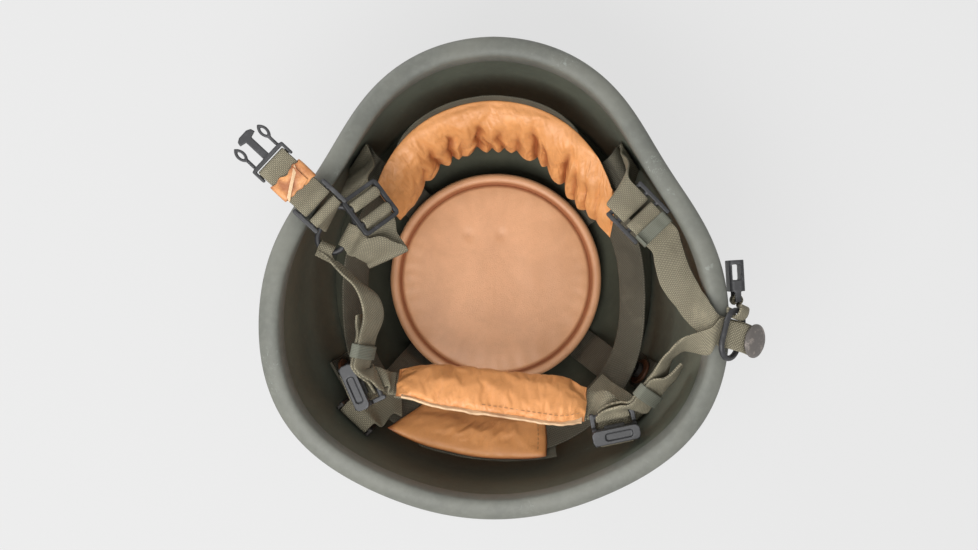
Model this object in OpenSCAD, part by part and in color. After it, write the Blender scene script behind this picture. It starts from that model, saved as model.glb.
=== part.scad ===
// Ballistic helmet with its leather padded suspension and webbing chin harness.
// It lies crown down. The origin is the lowest point of the crown, +Z points up out of the
// bowl, +Y points to the brow and +X to the wearer's side that holds the receiving buckle.
// Azimuths are in degrees, counted from +X towards the brow.

/* [Shell] */
// Half of the laminate's width, before the dips and swells
shell_half_w = 131.5; // [126:0.5:138]
// Half of the laminate's length from brow to nape
shell_half_l = 138.5; // [133:0.5:145]
// Height of the rim at the brow
brow_z = 138; // [132:1:146]
// Height of the rim at the ears
ear_z = 166; // [160:1:174]
// Height of the rim at the nape
nape_z = 157; // [150:1:164]
// Thickness of the laminate
shell_t = 8.5; // [7.5:0.1:9.5]
// How much narrower the shell is at the temples
temple_dip = 16.7; // [12:0.1:20]
// How much fuller the shell is behind the ears
corner_swell = 10.3; // [6:0.1:14]
// Radius of the flat spot at the crown
flat_r = 20; // [16:1:26]
// Fullness of the dome, 2 is a plain ellipse
fullness = 2.3; // [2.1:0.05:2.5]

/* [Edge trim and liner] */
// Wall of the edge trim
trim_t = 1.6; // [1.2:0.1:2.2]
// Depth of the edge trim's legs
trim_leg = 9; // [6:0.5:13]
// Thickness of the impact liner
liner_t = 6; // [4:0.5:7]
// Height of the impact liner's edge
liner_top = 67; // [60:1:69]

/* [Fixings] */
// Diameter of the fixing screws
screw_d = 5; // [4:0.1:6]
// Diameter of the screw heads
screw_head_d = 14; // [11:0.5:18]
// Diameter of the leather washers
washer_d = 16; // [14:0.5:18]
// Diameter of the nuts
nut_d = 10; // [8:0.5:12]

/* [Headband and pads] */
// Width of the headband webbing
band_w = 25; // [22:0.5:28]
// Height of the headband's middle
band_z = 101.5; // [98:0.5:105]
// Distance of the headband's middle from the shell at the brow
band_gap = 26; // [23:0.5:28]
// The same distance at the nape
band_gap_rear = 17; // [15:0.5:20]
// Thickness of the gathered front pad
front_pad_t = 10; // [7:0.5:12]
// Thickness of the rear pad
rear_pad_t = 8; // [6:0.5:10]
// Radius of the crown pad
crown_pad_r = 65.5; // [60:0.5:67]
// Height of the crown pad's underside
crown_pad_z = 43; // [41:0.5:46]
// Thickness of the crown pad at its rim
crown_pad_t = 9; // [7:0.5:12]

/* [Webbing] */
// Width of the harness webbing
web_w = 20; // [17:0.25:20.5]
// Thickness of the harness webbing
web_t = 1.5; // [1.1:0.1:1.6]

/* [Nape pad] */
// Width of the nape pad from its lower to its upper edge
nape_pad_w = 33; // [28:0.5:38]
// Thickness of the nape pad
nape_pad_t = 9; // [6:0.5:11]

/* [Buckles] */
// Diameter of the bars that webbing turns round
bar_d = 3; // [2.4:0.1:3.2]
// Clear width between the side rails of every buckle
buckle_in = 21.2; // [20.8:0.1:22]
// Width of a side rail
rail_w = 2.6; // [2:0.1:3.2]
// Length of the webbing keepers along the strap
keeper_l = 8; // [6:0.5:9]
// Length of the cam levers
lever_l = 28; // [24:0.5:29]
// Diameter of the round stud
stud_d = 19.5; // [16:0.5:22]
// Outer length of the oval junction rings
ring_l = 31; // [29:0.5:34]
// Outer width of the oval junction rings
ring_w = 20; // [18:0.5:22]
// Thickness of the junction rings' bar
ring_bar = 3.4; // [2.8:0.1:3.8]
// Width of the release buckle
release_w = 24.4; // [24:0.2:26]

/* [Hidden] */
$fn = 32;

// Clearances, all in millimetres
gap = 0.3;
pin_gap = 0.1;
seat = 0.15;

olive = [0.33, 0.34, 0.30];
dark_green = [0.13, 0.14, 0.10];
webbing = [0.42, 0.40, 0.32];
dark_webbing = [0.26, 0.24, 0.20];
leather = [0.83, 0.55, 0.33];
pad_leather = [0.84, 0.62, 0.46];
black_plastic = [0.17, 0.17, 0.18];
steel = [0.45, 0.45, 0.43];

// Plain helpers
function unit(v) = v / norm(v);
function mix(p, q, t) = p * (1 - t) + q * t;
function ease(t) = let (c = min(1, max(0, t))) c * c * (3 - 2 * c);
function bell(x, mid, spread) = exp(-pow((x - mid) / spread, 2) / 2);

// Shell surface as a function of azimuth and height
dome_h = ear_z + 6;
flat_drop = dome_h * (1 - pow(1 - pow(flat_r / shell_half_w, fullness), 1 / fullness));
function from_brow(a) = abs(((a + 810) % 360) - 180);
function oval(f, w, l) = 1 / sqrt(pow(sin(f) / w, 2) + pow(cos(f) / l, 2));
function rim_r(a) = let (f = from_brow(a))
    oval(f, shell_half_w, shell_half_l) - temple_dip * bell(f, 57, 19)
    + corner_swell * bell(f, 124, 17);
function rim_z(a) = let (f = from_brow(a))
    brow_z + (ear_z - brow_z) * ease((f - 20) / 75) - (ear_z - nape_z) * ease((f - 130) / 50);
function dome(z) = pow(1 - pow(1 - min(z, dome_h) / dome_h, fullness), 1 / fullness);
function flare(a) = 2 + 4 * ease((from_brow(a) - 60) / 40);
function skin_r(a, z) = let (
    zz = max(z + flat_drop, 0.01),
    t = zz / (rim_z(a) + flat_drop),
    e = oval(from_brow(a), shell_half_w - 3, shell_half_l - 2))
    dome(zz) * (e + (rim_r(a) - e) * pow(t, 1.6) - flare(a)) + flare(a) * pow(t, 7);
function skin(a, z) = let (r = skin_r(a, z)) [r * cos(a), r * sin(a), z];
function skin_normal(a, z) = unit(cross(skin(a + 1, z) - skin(a - 1, z),
    skin(a, z + 0.2) - skin(a, z - 0.2)));
function inward(a, z, d) = skin(a, z) - skin_normal(a, z) * d;
function wall_r(a, z) = let (p = inward(a, min(z, rim_z(a)), shell_t)) norm([p.x, p.y]);

// A place in the bowl: azimuth, level distance in from the wall, and height
function spot(a, d, z) = let (r = wall_r(a, z) - d) [r * cos(a), r * sin(a), z];
// A direction in the bowl: outward, along the rim, and up
function lean(a, v) = [v.x * cos(a) - v.y * sin(a), v.x * sin(a) + v.y * cos(a), v.z];

// Places that were measured on the drawn plan move in or out with the plan at their azimuth
drawn_half_w = 131.5;
drawn_half_l = 138.5;
function fitted(p) = let (a = atan2(p.y, p.x), f = from_brow(a),
    k = oval(f, shell_half_w, shell_half_l) - oval(f, drawn_half_w, drawn_half_l))
    p + [k * cos(a), k * sin(a), 0];

// A working frame: origin, then x across the webbing, y along it and z out of its face
function work_frame(origin, x, y) = let (ux = unit(x), uz = unit(cross(ux, y)))
    [origin, ux, cross(uz, ux), uz];
function bowl_frame(a, d, z, x, y) = work_frame(spot(a, d, z), lean(a, x), lean(a, y));
function at(f, p) = f[0] + f[1] * p.x + f[2] * p.y + f[3] * p.z;
function shifted(f, p) = [at(f, p), f[1], f[2], f[3]];
module place(f) {
    multmatrix([[f[1].x, f[2].x, f[3].x, f[0].x], [f[1].y, f[2].y, f[3].y, f[0].y],
        [f[1].z, f[2].z, f[3].z, f[0].z]]) children();
}

// A solid through rows of points, every row a ring of as many points. Faces that lie back to
// back take matching diagonals where paired is set, as a thin twisted strip needs
module loft(rows, closed = false, paired = false) {
    n = len(rows);
    k = len(rows[0]);
    last = closed ? n - 1 : n - 2;
    sides = [for (i = [0 : last], j = [0 : k - 1]) let (
        a = i * k + j,
        b = i * k + (j + 1) % k,
        c = ((i + 1) % n) * k + (j + 1) % k,
        d = ((i + 1) % n) * k + j) each paired && j >= k / 2 ? [[a, d, b], [b, d, c]] : [[a, c, b], [a, d, c]]];
    ends = closed ? [] : [for (j = [1 : k - 2]) each
        [[0, j, j + 1], [(n - 1) * k, (n - 1) * k + j + 1, (n - 1) * k + j]]];
    polyhedron([for (row = rows) each row], concat(sides, ends));
}

// Webbing runs through stations, each a point and a half-width vector
half_w = web_w / 2;
half_t = web_t / 2;
turn_r = bar_d / 2 + gap + half_t;
// Half of the distance between the middles of two layers that lie on each other
layer = half_t + 0.2;
function hop(f, y, z, half = half_w) = [at(f, [0, y, z]), f[1] * half];
function free(a, d, z, side, half = half_w) = [spot(a, d, z), unit(lean(a, side)) * half];
function turn(f, y, z, r, from, to, half = half_w) = let (n = 6)
    [for (i = [0 : n]) let (q = mix(from, to, i / n)) hop(f, y + r * cos(q), z + r * sin(q), half)];
// A station given in a frame, and straight stations through a keeper
function set(f, p, h) = [at(f, p), f[1] * h.x + f[2] * h.y + f[3] * h.z];
function through(f, z, from = -8.5, to = 8.5) = [for (i = [0 : 4])
    hop(f, mix(from, to, i / 4), z)];
function heading(a, b, c) = let (p = norm(b - a), q = norm(c - b))
    p < 0.01 ? unit(c - b) : q < 0.01 ? unit(b - a) : unit((b - a) / p * q + (c - b) / q * p);
function curve(a, b, c, d, t) = let (l = norm(c - b), s = t * t)
    b * (2 * s * t - 3 * s + 1) + heading(a, b, c) * (l * (s * t - 2 * s + t))
    + c * (3 * s - 2 * s * t) + heading(b, c, d) * (l * (s * t - s));
web_step = 7;
function run(route) = let (n = len(route)) [
    for (i = [0 : n - 2]) let (
        a = route[max(i - 1, 0)], b = route[i], c = route[i + 1], d = route[min(i + 2, n - 1)],
        m = ceil(norm(c[0] - b[0]) / web_step))
        for (k = [0 : m - 1]) let (h = mix(b[1], c[1], k / m))
            [curve(a[0], b[0], c[0], d[0], k / m),
                unit(h) * mix(norm(b[1]), norm(c[1]), k / m)],
    route[n - 1]];
module web(route) {
    s = run(route);
    n = len(s);
    loft([for (i = [0 : n - 1]) let (
        ahead = s[min(i + 1, n - 1)][0] - s[max(i - 1, 0)][0],
        face = unit(cross(ahead, s[i][1])) * half_t,
        p = s[i][0],
        h = s[i][1]) [p + h + face, p - h + face, p - h - face, p + h - face]], paired = true);
}

// Flat shapes for the moulded parts
module rounded(w, l, r) {
    square([w - 2 * r, l], center = true);
    square([w, l - 2 * r], center = true);
    for (x = [-1, 1], y = [-1, 1]) translate([x * (w / 2 - r), y * (l / 2 - r)]) circle(r);
}
module cross_bar(y, length, z = 0) {
    translate([0, y, z]) rotate([0, 90, 0]) cylinder(h = length, d = bar_d, center = true);
}
module slab(t) {
    translate([0, 0, -t / 2]) linear_extrude(height = t) children();
}

// Bowl-shaped wall between two depths under the skin
shell_rings = 18;
function level(top, i, rings) = (top + flat_drop) * (1 - cos(90 * i / rings)) - flat_drop;
module bowl(top, rings, sides, outer, inner) {
    ring = function (i, d) [for (j = [0 : sides - 1]) let (a = 360 * j / sides)
        inward(a, level(top(a), i, rings), d)];
    loft(concat([for (i = [1 : rings]) ring(i, outer)],
        [for (i = [rings : -1 : 1]) ring(i, inner)]));
}

// Fixings: azimuth and height of each screw
front_fix = 40;
rear_fix = 33;
hanger_fix = 46;
fixings = [[front_fix, 98], [180 - front_fix, 98], [180 + rear_fix, 86], [360 - rear_fix, 86],
    [180 + hanger_fix, 106], [360 - hanger_fix, 106]];
head_t = 2.4;
washer_t = 2;
nut_t = 3.4;
bracket_t = 1.6;
curve_gap = 1.35;
// Depth under the skin of the webbing's first layer, and of the washer on each screw
tab_depth = shell_t + curve_gap + half_t;
function stack(i) = shell_t + curve_gap + 2 * gap
    + (i < 2 ? 2 * web_t + gap : i < 4 ? web_t : bracket_t);
// A frame on a screw: x level, y up the wall, z into the bowl
function fix_frame(f, depth = 0) = let (n = skin_normal(f[0], f[1]), x = unit(cross(n, [0, 0, 1])))
    work_frame(inward(f[0], f[1], depth), x, -cross(n, x));
module on_screws(which = [0 : 5]) {
    for (i = which) place(fix_frame(fixings[i])) translate([0, 0, stack(i)]) children();
}
module ring_disc(d, t) {
    difference() {
        cylinder(h = t, d = d);
        translate([0, 0, -1]) cylinder(h = t + 2, d = screw_d + 2 * pin_gap);
    }
}

module shell() {
    color(olive) difference() {
        bowl(function (a) rim_z(a), shell_rings, 64, 0, shell_t);
        translate([0, 0, -5]) cylinder(h = 5, r = 2 * flat_r);
        for (f = fixings) place(fix_frame(f)) translate([0, 0, -4])
            cylinder(h = shell_t + 8, d = screw_d + 2 * pin_gap);
    }
}

module edge_trim() {
    wide = shell_t / 2 + seat + trim_t;
    crown = 4.2;
    below = function (a) level(rim_z(a), shell_rings - 1, shell_rings);
    leg = function (a, d) let (o = inward(a, rim_z(a), d), l = inward(a, below(a), d))
        o + unit(l - o) * trim_leg;
    color(olive) loft([for (j = [63 : -1 : 0]) let (
        a = 360 * j / 64,
        n = skin_normal(a, rim_z(a)),
        top = rim_z(a),
        o = inward(a, top, shell_t / 2),
        up = unit(cross(n, cross([0, 0, 1], n))),
        outer = leg(a, 0),
        inner = leg(a, shell_t)) concat(
            [outer + n * seat, outer + n * (seat + trim_t)],
            [for (q = [170 : -32 : 10]) o - n * (wide * cos(q)) + up * (seat + crown * sin(q))],
            [inner - n * (seat + trim_t), inner - n * seat],
            [o - n * (shell_t / 2 + seat) + up * seat, o + n * (shell_t / 2 + seat) + up * seat])],
        closed = true);
}

module impact_liner() {
    color(dark_green) bowl(function (a) liner_top, 9, 48, shell_t + gap, shell_t + gap + liner_t);
}

module fixing_screws() {
    color(black_plastic) for (i = [0 : 5]) place(fix_frame(fixings[i])) {
        translate([0, 0, -gap - 1]) cylinder(h = stack(i) + washer_t + nut_t + 2, d = screw_d);
        translate([0, 0, -gap - head_t]) cylinder(h = head_t, d = screw_head_d);
    }
}

module leather_washers() {
    color([0.45, 0.22, 0.12]) on_screws() ring_disc(washer_d, washer_t);
}

module fixing_nuts() {
    color(black_plastic) on_screws() translate([0, 0, washer_t + seat]) ring_disc(nut_d, nut_t);
}

// Steel loops under the last two nuts, with a bar above that the rear webbing turns round
bracket_y = 13;
bar_lift = turn_r + half_t + 0.3;
function bracket_frame(i) = fix_frame(fixings[i], shell_t + curve_gap + bar_lift);
module rear_brackets() {
    ear_x = (buckle_in + 2) / 2;
    color(steel) for (i = [4, 5]) place(fix_frame(fixings[i], shell_t + curve_gap)) {
        difference() {
            linear_extrude(height = bracket_t) difference() {
                translate([0, 4]) rounded(buckle_in + 4, 22, 2);
                translate([0, 13.6]) square([buckle_in, 10.4], center = true);
            }
            translate([0, 0, -1]) cylinder(h = 4, d = screw_d + 2 * pin_gap);
        }
        for (x = [-1, 1]) translate([x * ear_x, bracket_y, (bar_lift + 1.5) / 2])
            cube([2, 3.6, bar_lift + 1.5], center = true);
        cross_bar(bracket_y, buckle_in + 2, bar_lift);
    }
}

// Headband: a leaning ring of webbing. Its frame holds the middle, the way up and the way in
band_lean = 33.7;
band_lean_rear = 46;
function rearness(a) = ease((from_brow(a) - 100) / 60);
function band_frame(a) = let (q = mix(band_lean, band_lean_rear, rearness(a)),
    o = spot(a, mix(band_gap, band_gap_rear, rearness(a)), band_z))
    [o, lean(a, [sin(q), 0, cos(q)]), lean(a, [-cos(q), 0, sin(q)])];
function band_point(a, s, n) = let (f = band_frame(a)) f[0] + f[1] * s + f[2] * n;
function band_along(a) = unit(band_point(a + 3, 0, 0) - band_point(a - 3, 0, 0));
function on_band(a, s, n, way = -1) = [band_point(a, s, n), band_along(a) * way * half_w];

module headband() {
    color(dark_webbing) loft([for (j = [0 : 71]) let (a = 5 * j)
        [for (p = [[1, -1], [-1, -1], [-1, 1], [1, 1]])
            band_point(a, p.x * band_w / 2, p.y * half_t)]], closed = true);
}

// A webbing tab from a screw to the back of the headband
module bored_web(route, fix) {
    difference() {
        web(route);
        place(fix_frame(fix)) translate([0, 0, shell_t]) cylinder(h = 8, d = screw_d + 2 * pin_gap);
    }
}
function wall_along(a, z, way) = unit(skin(a + 1, z) - skin(a - 1, z)) * way * half_w;
function on_wall(f, up, depth, way = -1) = [inward(f[0], f[1] + up, depth),
    wall_along(f[0], f[1] + up, way)];
function off_wall(a, d, z) = [spot(a, d, z), wall_along(a, z, -1)];
back = -(web_t + gap + 0.2);
module anchor_tabs() {
    color(dark_webbing) {
        for (i = [0, 1]) let (f = fixings[i], a = f[0], d = tab_depth + web_t + gap)
            bored_web([on_wall(f, -9, d), on_wall(f, 0, d), on_wall(f, 10, d + 0.7),
                off_wall(a, 12, f[1] + 17), on_band(a, band_w / 2, back - 4),
                on_band(a, 9, back - 1), on_band(a, 6, back), on_band(a, 1.5, back)], f);
        for (i = [2, 3]) let (f = fixings[i], a = f[0], d = tab_depth, n = back * (i - 1) - 0.2)
            bored_web([on_wall(f, 9, d), on_wall(f, 0, d), on_wall(f, -9.5, d + 0.3),
                off_wall(a, 9, f[1] - 8), on_band(a, -17, n - 4),
                on_band(a, -11, n - 1), on_band(a, -8, n), on_band(a, -2, n)], f);
    }
}

// Rear webbing turns round a bracket's bar and ends on the headband
function bracket_turn(b) = concat([set(b, [0, bracket_y - turn_r - 0.3, 4], [half_w, 0, 0])],
    turn(b, bracket_y, 0, turn_r, 190, 350));
module rear_hanger_left() {
    b = bracket_frame(4);
    f = band_frame(234);
    side = -unit(lean(234, [0, 0.5, 0]) + f[1] * 0.86) * half_w;
    color(webbing) web(concat(bracket_turn(b),
        [set(b, [0, bracket_y + turn_r - 0.3, 5], [half_w, 0, 0]),
        [fitted([-68.5, -80.5, 114.2]), [-2.5, 9.4, -2.5]],
        [band_point(231.5, 1.5, 3.6), side], [band_point(234, -1, 3), side]]));
}
module rear_hanger_right() {
    b = bracket_frame(5);
    color(webbing) web(concat(bracket_turn(b),
        [set(b, [0, bracket_y + turn_r - 0.3, 5], [half_w, 0, 0]),
        on_band(313, 15, 6), on_band(312.5, 8, 3.2), on_band(312, 2, 2.4),
        on_band(311.5, -8, 2.4)]));
}

// Pads that follow the headband: low and high edge azimuths, half length, shift and thickness
function pad_point(p, j, s, n) = let (k = (s + 1) / 2,
    a = mix(mix(p[0], p[2], k), mix(p[1], p[3], k), j))
    band_point(a, p[5] + s * p[4], half_t + gap + n);
function cut_back(j, s) = s > 0 ? s * (1 - rear_cut * (1 - pow(2 * j - 1, 2))) : s;
function pad_ring(p, j, thick, half) = [
    for (i = [0 : 7]) let (q = 180 * i / 7, s = cut_back(j, cos(q) * half)) pad_point(p, j, s, 0.8 + thick * sin(q)),
    for (i = [1 : 4]) let (s = cut_back(j, mix(-1, 1, i / 5) * half)) pad_point(p, j, s, 0)];

front_pad_form = [8, 150, 38, 143, 22, -4];
front_gathers = 11;
module front_pad() {
    steps = 66;
    color(leather) loft([for (i = [steps : -1 : 0]) let (
        j = i / steps,
        draw = sqrt(max(0.05, 1 - pow(abs(2 * j - 1), 3.5))),
        pucker = abs(sin(180 * front_gathers * j + 40 * sin(360 * 2.3 * j))) - 0.5)
        [for (m = [0 : 11]) let (
            q = m < 8 ? 180 * m / 7 : 0,
            flat = (m < 8 ? cos(q) : mix(-1, 1, (m - 7) / 5)) * mix(0.82, 1, draw),
            s = flat * (flat < 0 ? mix(0.4, 1, ease(j / 0.35)) : 1),
            low = pow((1 - s) / 2, 1.4) * bell(j, 0.5, 0.32),
            n = m < 8 ? 0.8 + front_pad_t * draw * mix(0.5, 1, ease(j / 0.25)) * sin(q)
                * (0.85 + 0.5 * pucker * low) : 0)
            pad_point(front_pad_form, j, s - 0.12 * pucker * low * (m < 8 ? 1 : 0.9),
                n + (m < 8 ? 1 : 0) * 2.5 * pucker * low * sin(q))]]);
}

// Fastening strip that shows above the front pad
module hook_strip() {
    color(dark_webbing) loft([for (i = [0 : 24]) let (a = mix(58, 128, i / 24),
        end = sqrt(max(0.1, 1 - pow(abs(i / 12 - 1), 6))))
        [for (m = [[1, -0.5], [0, -0.5], [0, 0.7], [1, 0.7]])
            band_point(a, band_w / 2 + 0.7 + m.x * 8.5 * end, m.y)]]);
}

rear_pad_form = [243, 291, 235, 286, 20, 0];
// How far the rear pad's outer edge is cut back in the middle, as a share of its half width
rear_cut = 0.28;
module rear_pad() {
    steps = 20;
    color(leather) loft([for (i = [steps : -1 : 0]) let (
        j = i / steps,
        draw = sqrt(max(0.03, 1 - pow(abs(2 * j - 1), 4))))
        pad_ring(rear_pad_form, j, rear_pad_t * draw, mix(0.93, 1, draw))]);
}
module rear_pad_backing() {
    steps = 12;
    color(dark_webbing) loft([for (i = [0 : steps]) let (j = i / steps)
        [for (m = [[1, -1], [-1, -1], [-1, 1], [1, 1]])
            pad_point(rear_pad_form, mix(0.2, 1.06, j), cut_back(min(1, mix(0.2, 1.06, j)), m.x * 0.9),
                -(2 * half_t + 2 * gap) - half_t + m.y * half_t)]]);
}

// Crown straps cross under the crown pad and end behind the headband
pad_mid = [1.5, -2.5, 0];
arm_angles = [36, 228, 137, 322];
function pad_edge(a) = crown_pad_r + pad_mid.x * cos(a) + pad_mid.y * sin(a);
// Height of the liner's inner face at a radius. The pad and its straps rise where it would meet them
function liner_floor(a, r) = min(concat([liner_top], [for (z = [10 : liner_top]) let (
    p = inward(a, z, shell_t + gap + liner_t)) if (norm([p.x, p.y]) > r) p.z]));
straps_z = crown_pad_z - 2 * (web_t + gap);
pad_rise = max(concat([0], [for (a = arm_angles, m = [[2.5, 1.25], [8, 10]])
    liner_floor(a, pad_edge(a) + m.x) - straps_z - m.y]));
pad_z = crown_pad_z + pad_rise;
strap_low = pad_z - gap - half_t;
function crown_arm(a, z, n) = let (s = lean(a, [0, 1, 0]) * half_w,
    e = pad_edge(a),
    h = function (x, lift) [[x * cos(a), x * sin(a), lift], s])
    [h(18, z), h(48, z), h(e + 0.5, z + 0.2), h(e + 3.8, z + 4.5), h(e + 6, z + 14),
        on_band(a, -17, n - 4, 1), on_band(a, -13, n - 1.2, 1), on_band(a, -10, n, 1), on_band(a, -2, n, 1)];
module crown_strap(a, b, z, n) {
    there = crown_arm(a, z, back);
    here = [for (h = crown_arm(b, z, n)) [h[0], -h[1]]];
    n = len(here);
    web(concat([for (i = [n - 1 : -1 : 0]) here[i]], there));
}
module crown_strap_a() {
    color(dark_webbing) crown_strap(arm_angles[0], arm_angles[1], strap_low, back);
}
module crown_strap_b() {
    color(dark_webbing) crown_strap(arm_angles[2], arm_angles[3], strap_low - web_t - gap, back);
}

base_t = 2;
module crown_pad_base() {
    color(black_plastic) translate(pad_mid + [0, 0, pad_z + seat])
        cylinder(h = base_t, r = crown_pad_r - 6, $fn = 64);
}
module crown_pad_cover() {
    r = crown_pad_r;
    t = crown_pad_t;
    bead = 5.5;
    z = pad_z;
    top = [for (i = [0 : 10]) let (q = i / 10, x = (r - bead - 1.5) * (1 - q))
        [x, z + t - 1.8 + 3.4 * sqrt(max(0, 1 - pow(1 - q, 2.6)))]];
    color(pad_leather) translate(pad_mid) rotate_extrude($fn = 96) polygon(concat(
        [[0, z + base_t + 2 * seat], [r - 5.8, z + base_t + 2 * seat], [r - 5.8, z], [r - 1, z]],
        [for (q = [-60 : 30 : 150]) [r - bead / 2 + bead / 2 * cos(q), z + t - bead / 2
            + (q < 0 ? t - bead : bead / 2) * sin(q)]],
        top));
}

// Right front: hanger, slide buckle, chin strap and keeper
slide_l = 25;
slide_in = 23;
slide_bars = [-11, -4.7, 3.5];
slide_frame = work_frame(fitted([83.3, 35.9, 148]), [-0.72, -0.695, 0], [0.695, -0.72, 0.1]);
module slide_buckle() {
    color(black_plastic) place(slide_frame) {
        for (x = [-1, 1]) translate([x * (slide_in + rail_w) / 2, 0]) slab(3.6)
            rounded(rail_w, slide_l, 1.2);
        for (y = slide_bars) cross_bar(y, slide_in + rail_w);
    }
}
module hanger_right() {
    f = fixings[0];
    c = slide_bars[1];
    color(webbing) bored_web(concat([on_wall(f, -9, tab_depth), on_wall(f, 0, tab_depth),
        on_wall(f, 8, tab_depth), on_wall(f, 15, tab_depth + 0.3), free(39, 7, f[1] + 22, [-0.25, -0.95, 0]),
        free(36, 12, f[1] + 38, [-0.6, -0.75, 0.1]),
        hop(slide_frame, -slide_l / 2 - 3, 2), hop(slide_frame, slide_bars[0], turn_r + 0.4)],
        turn(slide_frame, c, 0, turn_r, 90, -90),
        [hop(slide_frame, slide_bars[0] + 1, -turn_r - 1)]), f);
}
keeper_frame_fr = shifted(slide_frame, [0, 13.2, 0]);
ring_half = 8;
function ring_pass(low, mid, high, x) = [for (p = [[-9.5, low], [-5.5, low], [0, mid], [5.5, high],
    [9.5, high]]) set(ring_frame_right, [x, p.x, p.y], [ring_half, 0, 0])];
module stud_bore() {
    place(ring_frame_right) translate([0, stud_y, 1]) cylinder(h = 7, d = stud_post + 2 * gap);
}
module chin_strap_front_right() {
    k = keeper_frame_fr;
    color(webbing) difference() {
        web(concat([[fitted([101.9, 8, 150.2]), [-7.9, -6, 0]], [fitted([100.4, 14.4, 149.4]), [-7.5, -6.5, 0]]],
            through(k, -layer, 8.5, -4.2),
            turn(slide_frame, slide_bars[2], 0, turn_r, -80, -280),
            through(k, layer, -4.2, 8.5),
            [[fitted([100.4, 12.4, 152.4]), [-7.9, -6.1, 0]],
            [fitted([103.6, 0.6, 156.5]), [-8.4, -5.5, -0.8]],
            [fitted([111.5, -14, 165.5]), [-7, -4.5, -5]],
            [fitted([117.5, -22.5, 173.5]), [-4, -8.2, -2]]],
            ring_pass(-5.6, -2.2, stud_low, -0.6),
            [set(ring_frame_right, [0, ring_w / 2 + 9, stud_low], [half_w - 1.5, 0, 0])]));
        stud_bore();
    }
}

// A keeper is a flat loop round two layers of webbing
keeper_t = 0.9;
module keeper_band(f, slack = 0.3) {
    inner_w = web_w + 2 * slack;
    inner_h = 4 * half_t + 0.4 + 2 * gap;
    color(webbing) place(f) rotate([90, 0, 0]) translate([0, 0, -keeper_l / 2])
        linear_extrude(height = keeper_l) difference() {
            rounded(inner_w + 2 * keeper_t, inner_h + 2 * keeper_t, 1.4);
            square([inner_w, inner_h], center = true);
        }
}
module keeper_front_right() {
    keeper_band(keeper_frame_fr);
}

// Right junction: oval ring, stud and the release buckle's receiving half
ring_tilt = 50;
ring_frame_right = let (o = spot(346, -10.8, 174)) work_frame(o,
    lean(346, [0, -1, 0.1]), lean(346, [cos(ring_tilt), 0, -sin(ring_tilt)]));
stud_low = ring_bar / 2 + gap + half_t;
stud_high = stud_low + web_t + gap;
stud_y = ring_w / 2 + 3.7;
stud_post = 4;
module oval_ring() {
    r = (ring_w - ring_bar) / 2;
    straight = ring_l - ring_w;
    for (s = [-1, 1]) translate([0, s * r, 0]) rotate([0, 90, 0])
        cylinder(h = straight, d = ring_bar, center = true);
    for (s = [0, 180]) rotate([0, 0, s]) translate([straight / 2, 0, 0]) rotate([0, 0, -90])
        rotate_extrude(angle = 180) translate([r, 0]) circle(d = ring_bar, $fn = 24);
}
module junction_ring_right() {
    color(black_plastic) place(ring_frame_right) oval_ring();
}
module stud() {
    under = stud_low - half_t - gap;
    over = stud_high + half_t + gap;
    color(steel) place(ring_frame_right) translate([0, stud_y, 0]) {
        translate([0, 0, under - 1.4]) cylinder(h = 1.4, d = 6.4);
        translate([0, 0, under - 0.5]) cylinder(h = over - under + 1, d = stud_post);
        translate([0, 0, over]) rotate_extrude($fn = 48) polygon([[0, 0], [stud_d / 2 - 0.8, 0],
            [stud_d / 2, 0.8], [stud_d / 2, 1.8], for (q = [0 : 15 : 90])
                [(stud_d / 2 - 0.8) * cos(q), 2.2 + 1.6 * sin(q)]]);
    }
}

// Receiving half of the release buckle, hanging outside the rim with its width upright
receiver_l = 26;
receiver_h = 8.6;
receiver_frame = work_frame(fitted([139.6, -14.4, 153]), [0, 0, -1], lean(354, [-0.16, 0.987, 0]));
module release_receiver() {
    wall = 1.7;
    body_l = 18;
    mouth_h = receiver_h - 2 * wall;
    color(black_plastic) place(receiver_frame) {
        cross_bar(0, release_w);
        for (x = [-1, 1]) translate([x * (release_w / 2 - 1.1), 3, 0])
            cube([2.2, 8, 3.6], center = true);
        difference() {
            translate([0, 5 + body_l / 2, 0]) rotate([90, 0, 0])
                translate([0, 0, -body_l / 2]) linear_extrude(height = body_l)
                    rounded(release_w, receiver_h, 2.4);
            translate([0, 8 + body_l / 2, 0])
                cube([release_w - 2 * wall, body_l, mouth_h], center = true);
            for (x = [-1, 1]) translate([x * release_w / 2, 16, 0])
                cube([6, 9, mouth_h], center = true);
        }
    }
}
module receiver_loop() {
    r = ring_frame_right;
    f = receiver_frame;
    tip = (ring_l - ring_bar) / 2;
    ring_r = ring_bar / 2 + 2.7;
    arc = [for (i = [0 : 6]) let (q = mix(-100, 100, i / 6))
        set(r, [ring_r * cos(q) - tip, 0, ring_r * sin(q)], [0, 4.4, 0])];
    mid = function (z) [mix(at(f, [-2, -4.5, z]), at(r, [-tip - 3, 1, z]), 0.45),
        unit(f[1] + r[2]) * 6];
    color(webbing) web(concat(arc, [mid(1.7)], turn(f, 0, 0, turn_r, 150, -150, 8)));
}

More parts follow.
